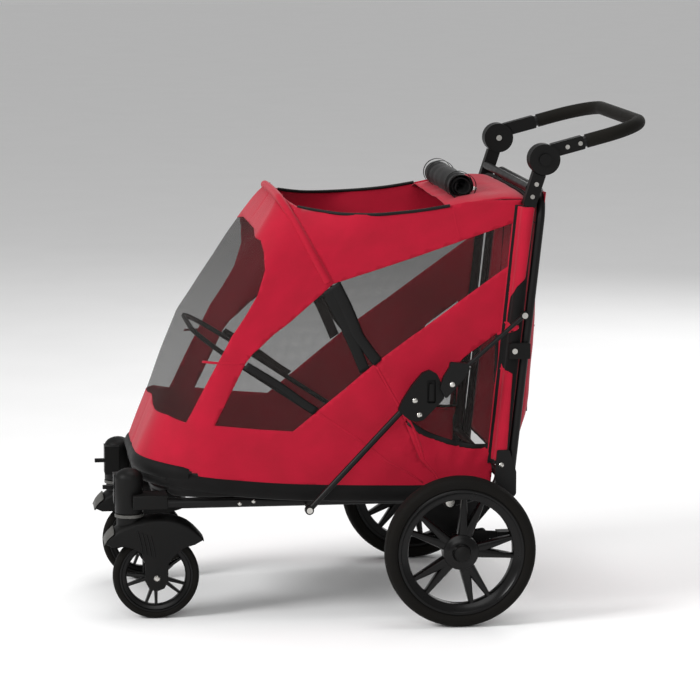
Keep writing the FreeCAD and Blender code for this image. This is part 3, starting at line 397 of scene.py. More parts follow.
def lathe(profile: Sequence[Flat], centre: Vector, steps: int = 96, axis: str = "X", closed: bool = True
          ) -> bmesh.types.BMesh:
    """Spins a profile about an axis.

    Args:
        profile: (along the axis, radius) points in millimetres.
        centre: a point on the axis, in metres.
        steps: how many faces round.
        axis: "X" or "Z".
        closed: whether the profile's last point joins its first.

    Returns:
        The bmesh.
    """
    bm = bmesh.new()
    turn = Vector((1, 0, 0)) if axis == "X" else Vector((0, 0, 1))
    out = Vector((0, 0, 1)) if axis == "X" else Vector((1, 0, 0))
    verts = [bm.verts.new(turn * (a * MM) + out * (r * MM)) for a, r in profile]
    count = len(verts) if closed else len(verts) - 1
    edges = [bm.edges.new((verts[i], verts[(i + 1) % len(verts)])) for i in range(count)]
    bmesh.ops.spin(bm, geom=verts + edges, cent=(0, 0, 0), axis=turn, angle=2 * math.pi, steps=steps, use_merge=True)
    bmesh.ops.remove_doubles(bm, verts=bm.verts[:], dist=1e-6)
    bmesh.ops.translate(bm, verts=bm.verts[:], vec=centre)
    return bm


def smooth_path(points: Sequence[Vector], step: float) -> list[Vector]:
    """Runs a smooth line through points.

    Args:
        points: the points, in any unit.
        step: the wanted spacing, in the same unit.

    Returns:
        Evenly spaced points along it, both ends included.
    """
    line: list[Vector] = []
    last = len(points) - 1
    for i in range(last):
        a, b, c, d = (points[max(i - 1, 0)], points[i], points[i + 1], points[min(i + 2, last)])
        for k in range(16):
            t = k / 16
            line.append(((b * 2) + (c - a) * t + (a * 2 - b * 5 + c * 4 - d) * t ** 2
                         + (b * 3 - a - c * 3 + d) * t ** 3) * 0.5)
    line.append(points[last])
    return even_path(line, step)


def even_path(line: Sequence[Vector], step: float) -> list[Vector]:
    """Walks a line in even steps.

    Args:
        line: the line's points.
        step: the wanted spacing.

    Returns:
        Evenly spaced points along it, both ends included.
    """
    run = [0.0]
    for a, b in zip(line, line[1:]):
        run.append(run[-1] + (b - a).length)
    count = max(2, round(run[-1] / step))
    out, i = [], 0
    for k in range(count + 1):
        want = run[-1] * k / count
        while i < len(line) - 2 and run[i + 1] < want:
            i += 1
        span = run[i + 1] - run[i] or 1.0
        out.append(line[i].lerp(line[i + 1], (want - run[i]) / span))
    return out


def tube_mesh(line: Sequence[Vector], radius: float, sides: int = 12, bm: bmesh.types.BMesh | None = None
              ) -> bmesh.types.BMesh:
    """A round tube or cord along a line, with closed ends.

    Args:
        line: its centre line, in metres.
        radius: in millimetres.
        sides: how many faces round.
        bm: a bmesh to add to.

    Returns:
        The bmesh.
    """
    bm = bm or bmesh.new()
    side = (line[1] - line[0]).orthogonal().normalized()
    ring: list = []
    for i, point in enumerate(line):
        ahead = (line[min(i + 1, len(line) - 1)] - line[max(i - 1, 0)]).normalized()
        side = (side - ahead * side.dot(ahead)).normalized()
        turn = Matrix((side, ahead.cross(side), ahead)).transposed().to_4x4()
        made = bmesh.ops.create_circle(bm, cap_ends=i in (0, len(line) - 1), segments=sides, radius=radius * MM,
                                       matrix=Matrix.Translation(point) @ turn)["verts"]
        if ring:
            edges = [e for v in (*ring, *made) for e in v.link_edges if e.other_vert(v) in ring or
                     e.other_vert(v) in made]
            bmesh.ops.bridge_loops(bm, edges=list(dict.fromkeys(
                e for e in edges if not (len(e.link_faces) > 1))))
        ring = made
    return bm


def mirrored(obj: bpy.types.Object, name: str) -> bpy.types.Object:
    """The same piece on the stroller's other side.

    Args:
        obj: the left-hand piece.
        name: the right-hand piece's name.

    Returns:
        The new object.
    """
    bm = bmesh.new()
    bm.from_mesh(obj.data)
    bmesh.ops.scale(bm, vec=(-1, 1, 1), verts=bm.verts[:])
    bmesh.ops.reverse_faces(bm, faces=bm.faces[:])
    mesh = bpy.data.meshes.new(name)
    bm.to_mesh(mesh)
    bm.free()
    mesh.materials.append(obj.data.materials[0])
    other = bpy.data.objects.new(name, mesh)
    bpy.context.scene.collection.objects.link(other)
    for modifier in obj.modifiers:
        copy = other.modifiers.new(modifier.name, modifier.type)
        if modifier.type == "SOLIDIFY":
            copy.thickness, copy.offset = modifier.thickness, modifier.offset
    return other


def thicken(obj: bpy.types.Object, thickness: float, offset: float = -1.0) -> bpy.types.Object:
    """Gives a sheet its thickness.

    Args:
        obj: the sheet.
        thickness: in millimetres.
        offset: -1 grows it inwards, 1 outwards.

    Returns:
        The same object.
    """
    modifier = obj.modifiers.new("cloth", "SOLIDIFY")
    modifier.thickness, modifier.offset = thickness * MM, offset
    return obj


# ------------------------------------------------------------------------------------------------ wheels


@dataclass
class SpokedWheel:
    """A foam tyre on a moulded rim with five pairs of spokes."""

    kind: str
    name: str
    side: int
    x: float
    y: float
    radius: float
    width: float
    tyre: float
    rim: float
    hub: float
    hub_width: float
    bore: float
    phase: float
    cap: float
    spoke_root: float
    spoke_tip: float
    pairs: int = 5
    splay: float = 10.0
    root_splay: float = 7.0

    def centre(self) -> Vector:
        """Returns: the wheel's middle."""
        return at(self.side * self.x, self.y, self.radius)

    def build(self) -> None:
        """Builds the tyre and the rim and puts them on their body."""
        body = f"{self.kind}_wheel_{self.name}"
        tyre = piece_from(self.tyre_mesh(), f"{self.kind}_tyre_rubber_{self.name}", TYRE_RUBBER, 50)
        rim = piece_from(self.rim_mesh(), f"{self.kind}_rim_moulding_{self.name}", RIM_ABS, 32)
        for piece, node, slot in ((tyre, "tyre", "tyre"), (rim, "rim", "rim_plastic")):
            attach(piece, body)
            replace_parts(piece, f"{self.kind}_{node}_{self.name}")
        if self.kind == "rear":
            self.hub_cap(body)

    def hub_cap(self, body: str) -> None:
        """Covers the axle's end with a domed black cap.

        Args:
            body: what it rides.
        """
        dome = [(26.0, 16.0), (31.0, 17.0), (34.5, 15.5), (37.0, 10.5), (38.0, 4.0), (38.0, 0.4)]
        base = [(25.0, 0.4), (25.0, 16.0)]
        centre = at(self.side * self.x, self.y, self.radius)
        profile = [(self.side * across, radius) for across, radius in base + dome]
        cap = piece_from(lathe(profile, centre, 48), f"rear_hub_cap_{self.name}", NYLON, 40)
        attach(cap, body)

    def tyre_mesh(self) -> bmesh.types.BMesh:
        """Returns: a rounded tyre with two shallow shoulder grooves."""
        middle, high, half = self.radius - self.tyre / 2, self.tyre / 2, self.width / 2
        profile = []
        for i in range(44):
            turn = 2 * math.pi * i / 44
            c, s = math.cos(turn), math.sin(turn)
            groove = 0.8 if s > 0 and 0.60 < abs(c) < 0.72 else 0.0
            profile.append((half * math.copysign(abs(c) ** 0.8, c),
                            middle + high * math.copysign(abs(s) ** 0.75, s) - groove))
        return lathe(profile, self.centre(), 120)

    def rim_mesh(self) -> bmesh.types.BMesh:
        """Returns: the rim band, hub, domed cap and spokes as one mesh."""
        outer = self.radius - self.tyre + 1.0
        inner = outer - 1.0 - self.rim
        half = self.width * 0.42
        lip = self.rim * 0.3
        band = [(-half, outer + 2), (half, outer + 2), (half + 1, outer), (half + 0.6, outer - lip * 0.6),
                (half - 2, outer - lip), (half * 0.72, inner + lip), (half * 0.6, inner + 1), (half * 0.5, inner),
                (-half * 0.5, inner), (-half * 0.6, inner + 1), (-half * 0.72, inner + lip),
                (-half + 2, outer - lip), (-half - 0.6, outer - lip * 0.6), (-half - 1, outer)]
        bm = lathe(band, self.centre(), 120)
        half_hub, bore = self.hub_width / 2, self.bore
        hub = [(half_hub, bore), (half_hub, self.cap * 0.98), (half_hub - 1.5, self.cap * 1.06),
               (half_hub - 4, self.cap * 1.12), (half_hub - 5, self.hub * 0.72), (half_hub - 7, self.hub * 0.8),
               (half_hub - 9, self.hub * 0.97), (half_hub - 12, self.hub), (-half_hub + 12, self.hub),
               (-half_hub + 9, self.hub * 0.97), (-half_hub + 5, self.hub * 0.72), (-half_hub, self.cap),
               (-half_hub, bore)]
        self.join(bm, lathe(hub, self.centre(), 60))
        for pair in range(self.pairs):
            for hand in (-1, 1):
                turn = self.phase + 360 / self.pairs * pair
                self.spoke(bm, turn + hand * self.root_splay, turn + hand * self.splay, inner + 3)
        return bm

    def spoke(self, bm: bmesh.types.BMesh, root_turn: float, tip_turn: float, reach: float) -> None:
        """Adds one spoke, tapering outwards.

        Args:
            bm: the mesh to add to.
            root_turn: the angle at the hub, in degrees from the front, rising.
            tip_turn: the angle at the rim.
            reach: the rim's inner radius in millimetres.
        """
        part = bmesh.new()
        bmesh.ops.create_cube(part, size=1.0)
        long_edges = [e for e in part.edges if abs(e.verts[0].co.z - e.verts[1].co.z) > 0.5]
        bmesh.ops.bevel(part, geom=long_edges, offset=0.28, offset_type="OFFSET", affect="EDGES", segments=3,
                        profile=0.5, material=-1)
        root_r = self.hub * 0.72
        for v in part.verts:
            t = v.co.z + 0.5
            turn = math.radians(root_turn + (tip_turn - root_turn) * t)
            radius = root_r + (reach - root_r) * t
            wide = (self.spoke_root + (self.spoke_tip - self.spoke_root) * t) * v.co.y
            deep = self.width * (0.62 - 0.14 * t) * v.co.x
            middle = Vector((0, -math.cos(turn), math.sin(turn)))
            across = Vector((0, math.sin(turn), math.cos(turn)))
            v.co = self.centre() + (middle * radius + across * wide + Vector((deep, 0, 0))) * MM
        self.join(bm, part)

    @staticmethod
    def join(bm: bmesh.types.BMesh, other: bmesh.types.BMesh) -> None:
        """Adds another mesh to this one and frees it.

        Args:
            bm: the mesh that grows.
            other: the mesh that goes in.
        """
        mesh = bpy.data.meshes.new("scratch")
        other.to_mesh(mesh)
        other.free()
        bm.from_mesh(mesh)
        bpy.data.meshes.remove(mesh)


# ------------------------------------------------------------------------------------------------ cabin


@dataclass
class CabinSkin:
    """The surface that the cabin's cloth is stretched over, unrolled as (s, z).

    s runs round the outside from the middle of the front, in millimetres, and z is the height.
    """

    half: float = 250.0
    levels: tuple = ((230.0, -606.0, 150.0), (322.0, -634.0, 150.0), (581.0, -527.0, 90.0), (838.0, -348.0, 50.0),
                     (900.0, -305.0, 45.0))
    fold_y: float = -11.0
    fold_z: float = 240.0
    arch: float = 130.0
    arch_low: float = 734.0
    arch_high: float = 848.0
    bow_lean: float = 0.54

    def shoulder(self, y: float, z: float) -> float:
        """How far the rounded shoulders of the top bow pull the cloth in.

        Args:
            y: behind the rear axle.
            z: the height.

        Returns:
            Millimetres, at the cabin's side.
        """
        t = min(max((z - self.arch_low) / (self.arch_high - self.arch_low), 0.0), 0.995)
        near = min(max((-170 - y) / 120, 0.0), 1.0)
        return self.arch * (1 - math.sqrt(1 - t * t)) * near * near * (3 - 2 * near)

    def level(self, z: float) -> Flat:
        """The front face's Y and the corner radius at a height.

        Args:
            z: the height.

        Returns:
            Both, in millimetres.
        """
        for (z0, y0, r0), (z1, y1, r1) in zip(self.levels, self.levels[1:]):
            if z <= z1 or z1 == self.levels[-1][0]:
                t = (z - z0) / (z1 - z0)
                return y0 + (y1 - y0) * t, max(r0 + (r1 - r0) * t, 20.0)
        return self.levels[-1][1:]

    def front(self, x: float, z: float) -> Vector:
        """The unrolled point for a place on the front, given across and up.

        Args:
            x: across, from the middle.
            z: the height.

        Returns:
            (s, z, 0).
        """
        radius = self.level(z)[1]
        flat = self.half - radius
        s = x if x < flat else flat + radius * math.asin(min((x - flat) / radius, 1.0))
        return Vector((s, z, 0))

    def side(self, y: float, z: float) -> Vector:
        """The unrolled point for a place on the side, given along and up.

        Args:
            y: behind the rear axle.
            z: the height.

        Returns:
            (s, z, 0).
        """
        front, radius = self.level(z)
        flat = self.half - radius
        if y < front + radius:
            s = flat + radius * math.acos(max(1 - (y - front) / radius, -1.0))
        else:
            s = flat + radius * math.pi / 2 + y - front - radius
        return Vector((s, z, 0))

    def rolled(self, s: float, z: float, lift: float = 0.0) -> tuple[float, float, float]:
        """The place for an unrolled point.

        Args:
            s: along the unrolled cloth.
            z: the height.
            lift: how far it stands off the surface.

        Returns:
            (x, y, z) in millimetres.
        """
        front, radius = self.level(z)
        flat = self.half - radius
        bend = radius * math.pi / 2
        hand, s = (1, s) if s >= 0 else (-1, -s)
        if s < flat:
            x, y, turn = s, front, 0.0
        elif s < flat + bend:
            turn = (s - flat) / radius
            x, y = flat + radius * math.sin(turn), front + radius * (1 - math.cos(turn))
        else:
            x, y, turn = self.half, front + radius + s - flat - bend, math.pi / 2
        x *= 1 - self.shoulder(y, z) / self.half
        return hand * (x + lift * math.sin(turn)), y - lift * math.cos(turn), z

    def relief(self, x: float, y: float, z: float) -> float:
        """How far the cloth stands in or out from taut, with the creases that its seams pull.

        Args:
            x: across.
            y: behind the rear axle.
            z: the height.

        Returns:
            Millimetres outwards.
        """
        swell = noise.noise(Vector((x / 170, y / 130, z / 110))) * 2.2
        ripple = noise.noise(Vector((x / 60 + 7, y / 48, z / 90 + 3))) * 0.9
        across, up = y - self.fold_y, z - self.fold_z
        distance = math.hypot(across, up)
        turn = math.atan2(up, -across)
        near = math.exp(-((distance - 150) / 110) ** 2)
        fan = math.sin(turn * 17 + noise.noise(Vector((turn * 2, distance / 200, 0))) * 2.5) * 2.4 * near
        hem = span(y, ((-634, 318), (-575, 303), (-512, 293), (-440, 284), (-311, 273), (-108, 266)))
        taut = min(max((z - hem) / 60, 0.0), 1.0)
        return (swell + ripple + (fan if abs(x) > 200 else 0.0)) * taut

    def place(self, s: float, z: float, lift: float = 0.0) -> Vector:
        """The place in the frame for an unrolled point, creases and all.

        Args:
            s: along the unrolled cloth.
            z: the height.
            lift: how far it stands off the cloth.

        Returns:
            The place in metres.
        """
        return at(*self.rolled(s, z, lift + self.relief(*self.rolled(s, z))))


SKIN = CabinSkin()


def inside(point: Flat, outline: Sequence[Vector]) -> bool:
    """Whether a point lies in an outline.

    Args:
        point: (s, z).
        outline: the corners, in order.

    Returns:
        True if it does.
    """
    hit = False
    for a, b in zip(outline, (*outline[1:], outline[0])):
        if (a.y > point[1]) != (b.y > point[1]):
            if point[0] < (b.x - a.x) * (point[1] - a.y) / (b.y - a.y) + a.x:
                hit = not hit
    return hit


def cut_along(bm: bmesh.types.BMesh, line: Sequence[Vector]) -> None:
    """Cuts flat cloth along a line, so that its faces end there.

    Args:
        bm: the cloth, flat in X and Y.
        line: the line's points.
    """
    for a, b in zip(line, line[1:]):
        if (b - a).length < 1e-3:
            continue
        low = (min(a.x, b.x) - 1, min(a.y, b.y) - 1)
        high = (max(a.x, b.x) + 1, max(a.y, b.y) + 1)
        faces = [f for f in bm.faces
                 if any(v.co.x <= high[0] for v in f.verts) and any(v.co.x >= low[0] for v in f.verts)
                 and any(v.co.y <= high[1] for v in f.verts) and any(v.co.y >= low[1] for v in f.verts)]
        edges = {e for f in faces for e in f.edges}
        verts = {v for f in faces for v in f.verts}
        bmesh.ops.bisect_plane(bm, geom=[*faces, *edges, *verts], dist=0.02, plane_co=a,
                               plane_no=Vector((a.y - b.y, b.x - a.x, 0)))


class Cloth(Enum):
    """The pieces that one half of the cabin's cloth is cut into."""

    FRONT_RED = "front_red"
    FRONT_NET = "front_net"
    CORNER_NET = "corner_net"
    SIDE_RED = "side_red"
    SIDE_NET = "side_net"
    REAR_NET = "rear_net"


@dataclass
class CabinCover:
    """The standing cloth of the cabin: red panels round windows of net, with its seams and bindings."""

    spacing: float = 11.0
    rear_low: float = 74.0
    rear_slope: float = 0.108
    hem: tuple = ((0, 318), (120, 321), (200, 318), (240, 309))
    hem_side: tuple = ((-575, 303), (-512, 293), (-440, 284), (-311, 273), (-108, 266), (120, 266))
    bow: tuple = ((-331, 848), (-308, 806), (-240, 682), (-174, 548), (-115, 444), (-39, 293), (-20, 255))
    top: tuple = ((-331, 846), (-308, 831), (-265, 824), (-220, 820), (-160, 820), (-110, 823), (-60, 828), (-9, 836),
                  (25, 843), (80, 846), (130, 846), (170, 846))
    front_window: tuple = ((0, 780), (119, 781), (227, 768), (250, 748), (276, 712), (292, 662), (294, 619),
                           (292, 582), (285, 548), (270, 482), (258, 428), (252, 405), (199, 416), (84, 420),
                           (0, 429))
    window: tuple = ((-482, 401), (-420, 525), (-405, 545), (-390, 557), (-330, 607), (-263, 665), (-244, 682),
                     (-160, 708), (-69, 737), (30, 770), (129, 803), (126, 760), (121, 719), (103, 709), (18, 648),
                     (-69, 585), (-155, 524), (-240, 455), (-325, 386), (-400, 392))
    rear_window: tuple = ((88, 578), (86, 460), (85, 347), (55, 346), (22, 349), (-16, 359), (-56, 374), (-98, 401),
                          (-40, 465), (21, 530))

    def lines(self) -> dict[str, list[Vector]]:
        """Returns: every line that the cloth is cut or sewn along, unrolled."""
        hem = [SKIN.front(x, z) for x, z in self.hem] + [SKIN.side(y, z) for y, z in self.hem_side]
        rear = [SKIN.side(self.rear_low + (z - 250) * self.rear_slope, z) for z in range(255, 860, 40)]
        return {
            "hem": hem,
            "bow": [SKIN.side(y, z) for y, z in self.bow],
            "top": [SKIN.side(y, z) for y, z in self.top],
            "rear": rear,
            "front_window": [Vector((s, z, 0)) for s, z in self.front_window],
            "window": [SKIN.side(y, z) for y, z in self.window],
            "rear_window": [SKIN.side(y, z) for y, z in self.rear_window],
        }

    @staticmethod
    def beyond(point: Flat, line: Sequence[Vector], axis: int) -> bool:
        """Whether a point lies past a line, measured along one axis.

        Args:
            point: (s, z).
            line: points in order along the other axis.
            axis: 0 compares s, 1 compares z.

        Returns:
            True if it does.
        """
        other = 1 - axis
        ends = sorted(line, key=lambda p: p[other])
        for a, b in zip(ends, ends[1:]):
            if a[other] <= point[other] <= b[other] and b[other] > a[other]:
                t = (point[other] - a[other]) / (b[other] - a[other])
                return point[axis] > a[axis] + (b[axis] - a[axis]) * t
        return point[axis] > (ends[0] if point[other] < ends[0][other] else ends[-1])[axis]

    def which(self, point: Flat, lines: dict[str, list[Vector]]) -> Cloth | None:
        """Which piece a point of the cloth belongs to.

        Args:
            point: (s, z).
            lines: the cutting lines.

        Returns:
            The piece, or None outside the cloth.
        """
        if not self.beyond(point, lines["hem"], 1) or self.beyond(point, lines["rear"], 0):
            return None
        ahead = not self.beyond(point, lines["bow"], 0)
        if ahead:
            if point[1] > self.bow[0][1]:
                return None
            if inside(point, lines["front_window"]):
                return Cloth.FRONT_NET
            return Cloth.CORNER_NET if inside(point, lines["window"]) else Cloth.FRONT_RED
        if self.beyond(point, lines["top"], 1):
            return None
        if inside(point, lines["window"]):
            return Cloth.SIDE_NET
        return Cloth.REAR_NET if inside(point, lines["rear_window"]) else Cloth.SIDE_RED

    def cut(self) -> dict[Cloth, bmesh.types.BMesh]:
        """Returns: each piece of the left half as its own mesh in place, with its map in metres."""
        lines = self.lines()
        low, high = 250.0, 862.0
        length = max(SKIN.side(self.rear_low + 75, z).x for z in (low, 322, 581, high))
        steps = (round(length / self.spacing), round((high - low) / self.spacing))
        flat = sheet_mesh(steps, lambda u, v: Vector((u * length, low + v * (high - low), 0)),
                          (length * MM, (high - low) * MM))
        for name, line in lines.items():
            cut_along(flat, [*line, line[0]] if name.endswith("window") else line)
        chosen: dict[int, Cloth | None] = {}
        flat.faces.ensure_lookup_table()
        for face in flat.faces:
            middle = face.calc_center_median()
            chosen[face.index] = self.which((middle.x, middle.y), lines)
        pieces = {}
        for cloth in Cloth:
            part = flat.copy()
            part.faces.ensure_lookup_table()
            bmesh.ops.delete(part, geom=[f for f in part.faces if chosen[f.index] != cloth], context="FACES")
            for v in part.verts:
                v.co = SKIN.place(v.co.x, v.co.y)
            bmesh.ops.triangulate(part, faces=[f for f in part.faces if len(f.verts) > 4])
            bmesh.ops.reverse_faces(part, faces=part.faces[:])
            pieces[cloth] = part
        flat.free()
        return pieces

    def build(self) -> None:
        """Builds every panel, seam and binding of the cover and makes it fold with the frame."""
        pieces = self.cut()
        both = {Cloth.FRONT_RED: RED_CANVAS, Cloth.FRONT_NET: WINDOW_NET}
        for cloth, finish in both.items():
            bm = pieces[cloth]
            halves = bmesh.ops.mirror(bm, geom=[*bm.verts, *bm.edges, *bm.faces], merge_dist=1e-5, axis="X")
            bmesh.ops.reverse_faces(bm, faces=[f for f in halves["geom"] if isinstance(f, bmesh.types.BMFace)])
            if min(v.co.x for v in bm.verts) > -0.01:
                LOG.warning("the front's other half is missing")
            self.dress(piece_from(bm, f"cover_{cloth.value}", finish, 60, False), finish)
        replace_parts(bpy.data.objects["cover_front_red"], "cover_front")
        for cloth, finish in ((Cloth.CORNER_NET, WINDOW_NET), (Cloth.SIDE_RED, RED_CANVAS),
                              (Cloth.SIDE_NET, WINDOW_NET), (Cloth.REAR_NET, WINDOW_NET)):
            left = piece_from(pieces[cloth], f"cover_{cloth.value}_left", finish, 60, False)
            right = mirrored(left, f"cover_{cloth.value}_right")
            for piece in (left, right):
                self.dress(piece, finish)
        for name, _ in SIDES:
            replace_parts(bpy.data.objects[f"cover_side_red_{name}"], f"cover_{name}")
        self.seams()

    def dress(self, piece: bpy.types.Object, finish: Finish) -> None:
        """Gives a panel its thickness and its fold.

        Args:
            piece: the panel.
            finish: what it is cut from.
        """
        red = finish is RED_CANVAS
        if red:
            thicken(piece, 1.0)
        declare(piece, 2 if "front" in piece.name else 1)
        fan(piece)

    def seams(self) -> None:
        """Sews on the bow sleeves, the bindings and the welts."""
        side, front = SKIN.side, SKIN.front
        runs = (
            ("bow_sleeve_window", [side(y, z) for y, z in ((-241, 681), (-214, 626), (-176, 552), (-153, 522))],
             19, 2.6, BLACK_TAPE),
            ("window_strap", [side(y, z) for y, z in ((-254, 672), (-234, 628), (-214, 588), (-180, 506))],
             19, 1.2, BLACK_TAPE),
            ("hoop_sleeve", [side(y, z) for y, z in ((-420, 521), (-358, 482), (-305, 443), (-279, 426))], 15, 2.4,
             BLACK_TAPE),
            ("hoop_welt_front", [front(x, z) for x, z in ((232, 528),)] + [side(y, z) for y, z in ((-424, 524),)],
             5, 1.6, RED_CANVAS),
            ("hoop_welt_low", [side(y, z) for y, z in ((-277, 425), (-178, 356), (-100, 302), (-62, 276))], 5, 1.8,
             RED_CANVAS),
            ("bow_welt_low", [side(y, z) for y, z in ((-156, 514), (-110, 432), (-79, 382), (-41, 299), (-30, 272))],
             5, 1.8, RED_CANVAS),
            ("rear_binding", [side(y, z) for y, z in ((-92, 399), (-56, 375), (-16, 360), (22, 350), (55, 347),
                                                      (84, 347))], 11, 1.4, BLACK_TAPE),
            ("rear_post_binding", [side(y, z) for y, z in ((84, 347), (86, 400), (87, 480), (88, 574))], 8, 1.3,
             BLACK_TAPE),
            ("roof_welt", [side(y, z) for y, z in ((-3, 833), (5, 795), (13, 766))], 4, 1.0, RED_CANVAS),
            ("front_welt", [side(y, z) for y, z in ((-577, 410), (-578, 370), (-578, 333), (-577, 310))], 3, 0.8,
             RED_CANVAS),
        )
        for name, line, width, crown, finish in runs:
            left = ribbon(f"{name}_left", line, width, crown, finish)
            right = mirrored(left, f"{name}_right")
            for piece in (left, right):
                fan(piece)
        self.rim()

    def rim(self) -> None:
        """Binds the edge of the top opening, and covers the bow's crossing with a red sleeve."""
        edge = [at(*SKIN.rolled(p.x, p.y, 0.5)) for p in (SKIN.side(y, z) for y, z in self.top[1:8])]
        left = piece_from(tube_mesh(smooth_path(edge, 10 * MM), 3.4, 10), "opening_binding_left", BLACK_TAPE, 60)
        arch = []
        for z in (686, 710, 734, 760, 784, 806, 822, 834, 842, 846.5):
            t = max((z - SKIN.arch_low) / (SKIN.arch_high - SKIN.arch_low), 0.0)
            x = SKIN.half - SKIN.arch * (1 - math.sqrt(1 - t * t)) - 3
            arch.append((x, SKIN.fold_y - SKIN.bow_lean * (z - SKIN.fold_z) - 2, z))
        y = arch[-1][1] - 1
        path = [*arch, (60, y, 849), (0, y, 849.5), (-60, y, 849)] + [(-x, y, z) for x, y, z in arch[::-1]]
        crossing = piece_from(tube_mesh(smooth_path([at(*p) for p in path], 12 * MM), 8.0, 16),
                              "bow_sleeve_crossing", RED_CANVAS, 60)
        pieces = [(left, "black_fabric"), (mirrored(left, "opening_binding_right"), "black_fabric"),
                  (crossing, "red_fabric")]
        for piece, slot in pieces:
            fan(piece)
        self.hoop_sleeve()

    def hoop_sleeve(self) -> None:
        """Wraps the front bow in its black sleeve, seen through the net."""
        tip, corner, steps = (-516.0, 577.0), 150.0, 8
        run = math.dist((SKIN.fold_y, SKIN.fold_z), tip)
        ahead = ((tip[0] - SKIN.fold_y) / run, (tip[1] - SKIN.fold_z) / run)
        line = [(235.0, 60.0), (235.0, run - corner)]
        for i in range(1, steps + 1):
            turn = math.pi / 2 * i / steps
            line.append((235 - corner * (1 - math.cos(turn)), run - corner + corner * math.sin(turn)))
        line += [(-x, along) for x, along in reversed(line)]
        places = [at(x, SKIN.fold_y + ahead[0] * along, SKIN.fold_z + ahead[1] * along) for x, along in line]
        sleeve = piece_from(tube_mesh(smooth_path(places, 14 * MM), 5.0, 12), "front_bow_sleeve", BLACK_CANVAS, 60)
        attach(sleeve, "front_bow")


# A panel that is mostly window is declared by a narrower rectangle with the same area, of which it fills
# EQUAL_SHARE. That width isn't the cut's.
LEAST_SHARE = 0.35
EQUAL_SHARE = 0.7


def declare(piece: bpy.types.Object, halves: int = 1) -> None:
    """Logs a piece's flat size and area, as its map has them.

    Args:
        piece: the piece, with its flat pattern in metres as its UV map.
        halves: 2 for a piece whose two halves share one map.
    """
    mesh = piece.data
    flat = [loop.uv.copy() for loop in mesh.uv_layers.active.data]
    area = 0.0
    for face in mesh.polygons:
        ring = [flat[i] for i in face.loop_indices]
        area += abs(sum(a.x * b.y - b.x * a.y for a, b in zip(ring, ring[1:] + ring[:1]))) / 2
    wide = (max(p.x for p in flat) - min(p.x for p in flat)) * halves
    tall = max(p.y for p in flat) - min(p.y for p in flat)
    if area < LEAST_SHARE * wide * tall:
        wide = area / (EQUAL_SHARE * tall)
    LOG.info("%s: flat %.3f x %.3f m, %.4f m2", piece.name, wide, tall, area)


def ribbon(name: str, line: Sequence[Vector], width: float, crown: float, finish: Finish) -> bpy.types.Object:
    """A tape, sleeve or welt sewn along a line of the cover.

    Args:
        name: the piece's name.
        line: its middle, unrolled.
        width: in millimetres.
        crown: how far its middle stands proud.
        finish: its finish.

    Returns:
        The object.
    """
    path = smooth_path(line, 9.0)
    count = len(path) - 1
    length = sum((b - a).length for a, b in zip(path, path[1:]))

    def shape(u: float, v: float) -> Vector:
        i = min(round(u * count), count)
        ahead = (path[min(i + 1, count)] - path[max(i - 1, 0)]).normalized()
        across = (v * 2 - 1) * width / 2
        lift = 0.2 + crown * math.sqrt(max(1 - (v * 2 - 1) ** 2, 0.0))
        return SKIN.place(path[i].x - ahead.y * across, path[i].y + ahead.x * across, lift)

    bm = sheet_mesh((count, 8), shape, (length * MM, width * MM))
    return thicken(piece_from(bm, name, finish, 60, False), 0.8)


# Angle above the floor round the fold line, and the share of the frame's fold that cloth there makes: the band
# keeps still, the front bow and the top bow make their own shares, and the posts all of it.
FAN_SHARES = ((9.0, 0.0), (33.7, 0.285), (61.6, 0.55), (105.0, 1.0))
ROLL_SHARE = 0.8


def fan(piece: bpy.types.Object) -> None:
    """Makes a piece of the cover fold like a fan about the frame's fold line, as its bows do.

    Args:
        piece: the piece.
    """
    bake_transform(piece, "chassis", "post_frame", start=at(0, -560, 260), end=at(0, 100, 560))
    weights = piece.data.attributes["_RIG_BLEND"].data
    for vertex, weight in zip(piece.data.vertices, weights):
        across = (AXLE_Y + SKIN.fold_y * MM) - vertex.co.y
        turn = math.degrees(math.atan2(vertex.co.z - SKIN.fold_z * MM, across)) % 360
        turn = 0.0 if turn > 270 else min(turn, 180.0)
        weight.value = span(turn, FAN_SHARES)


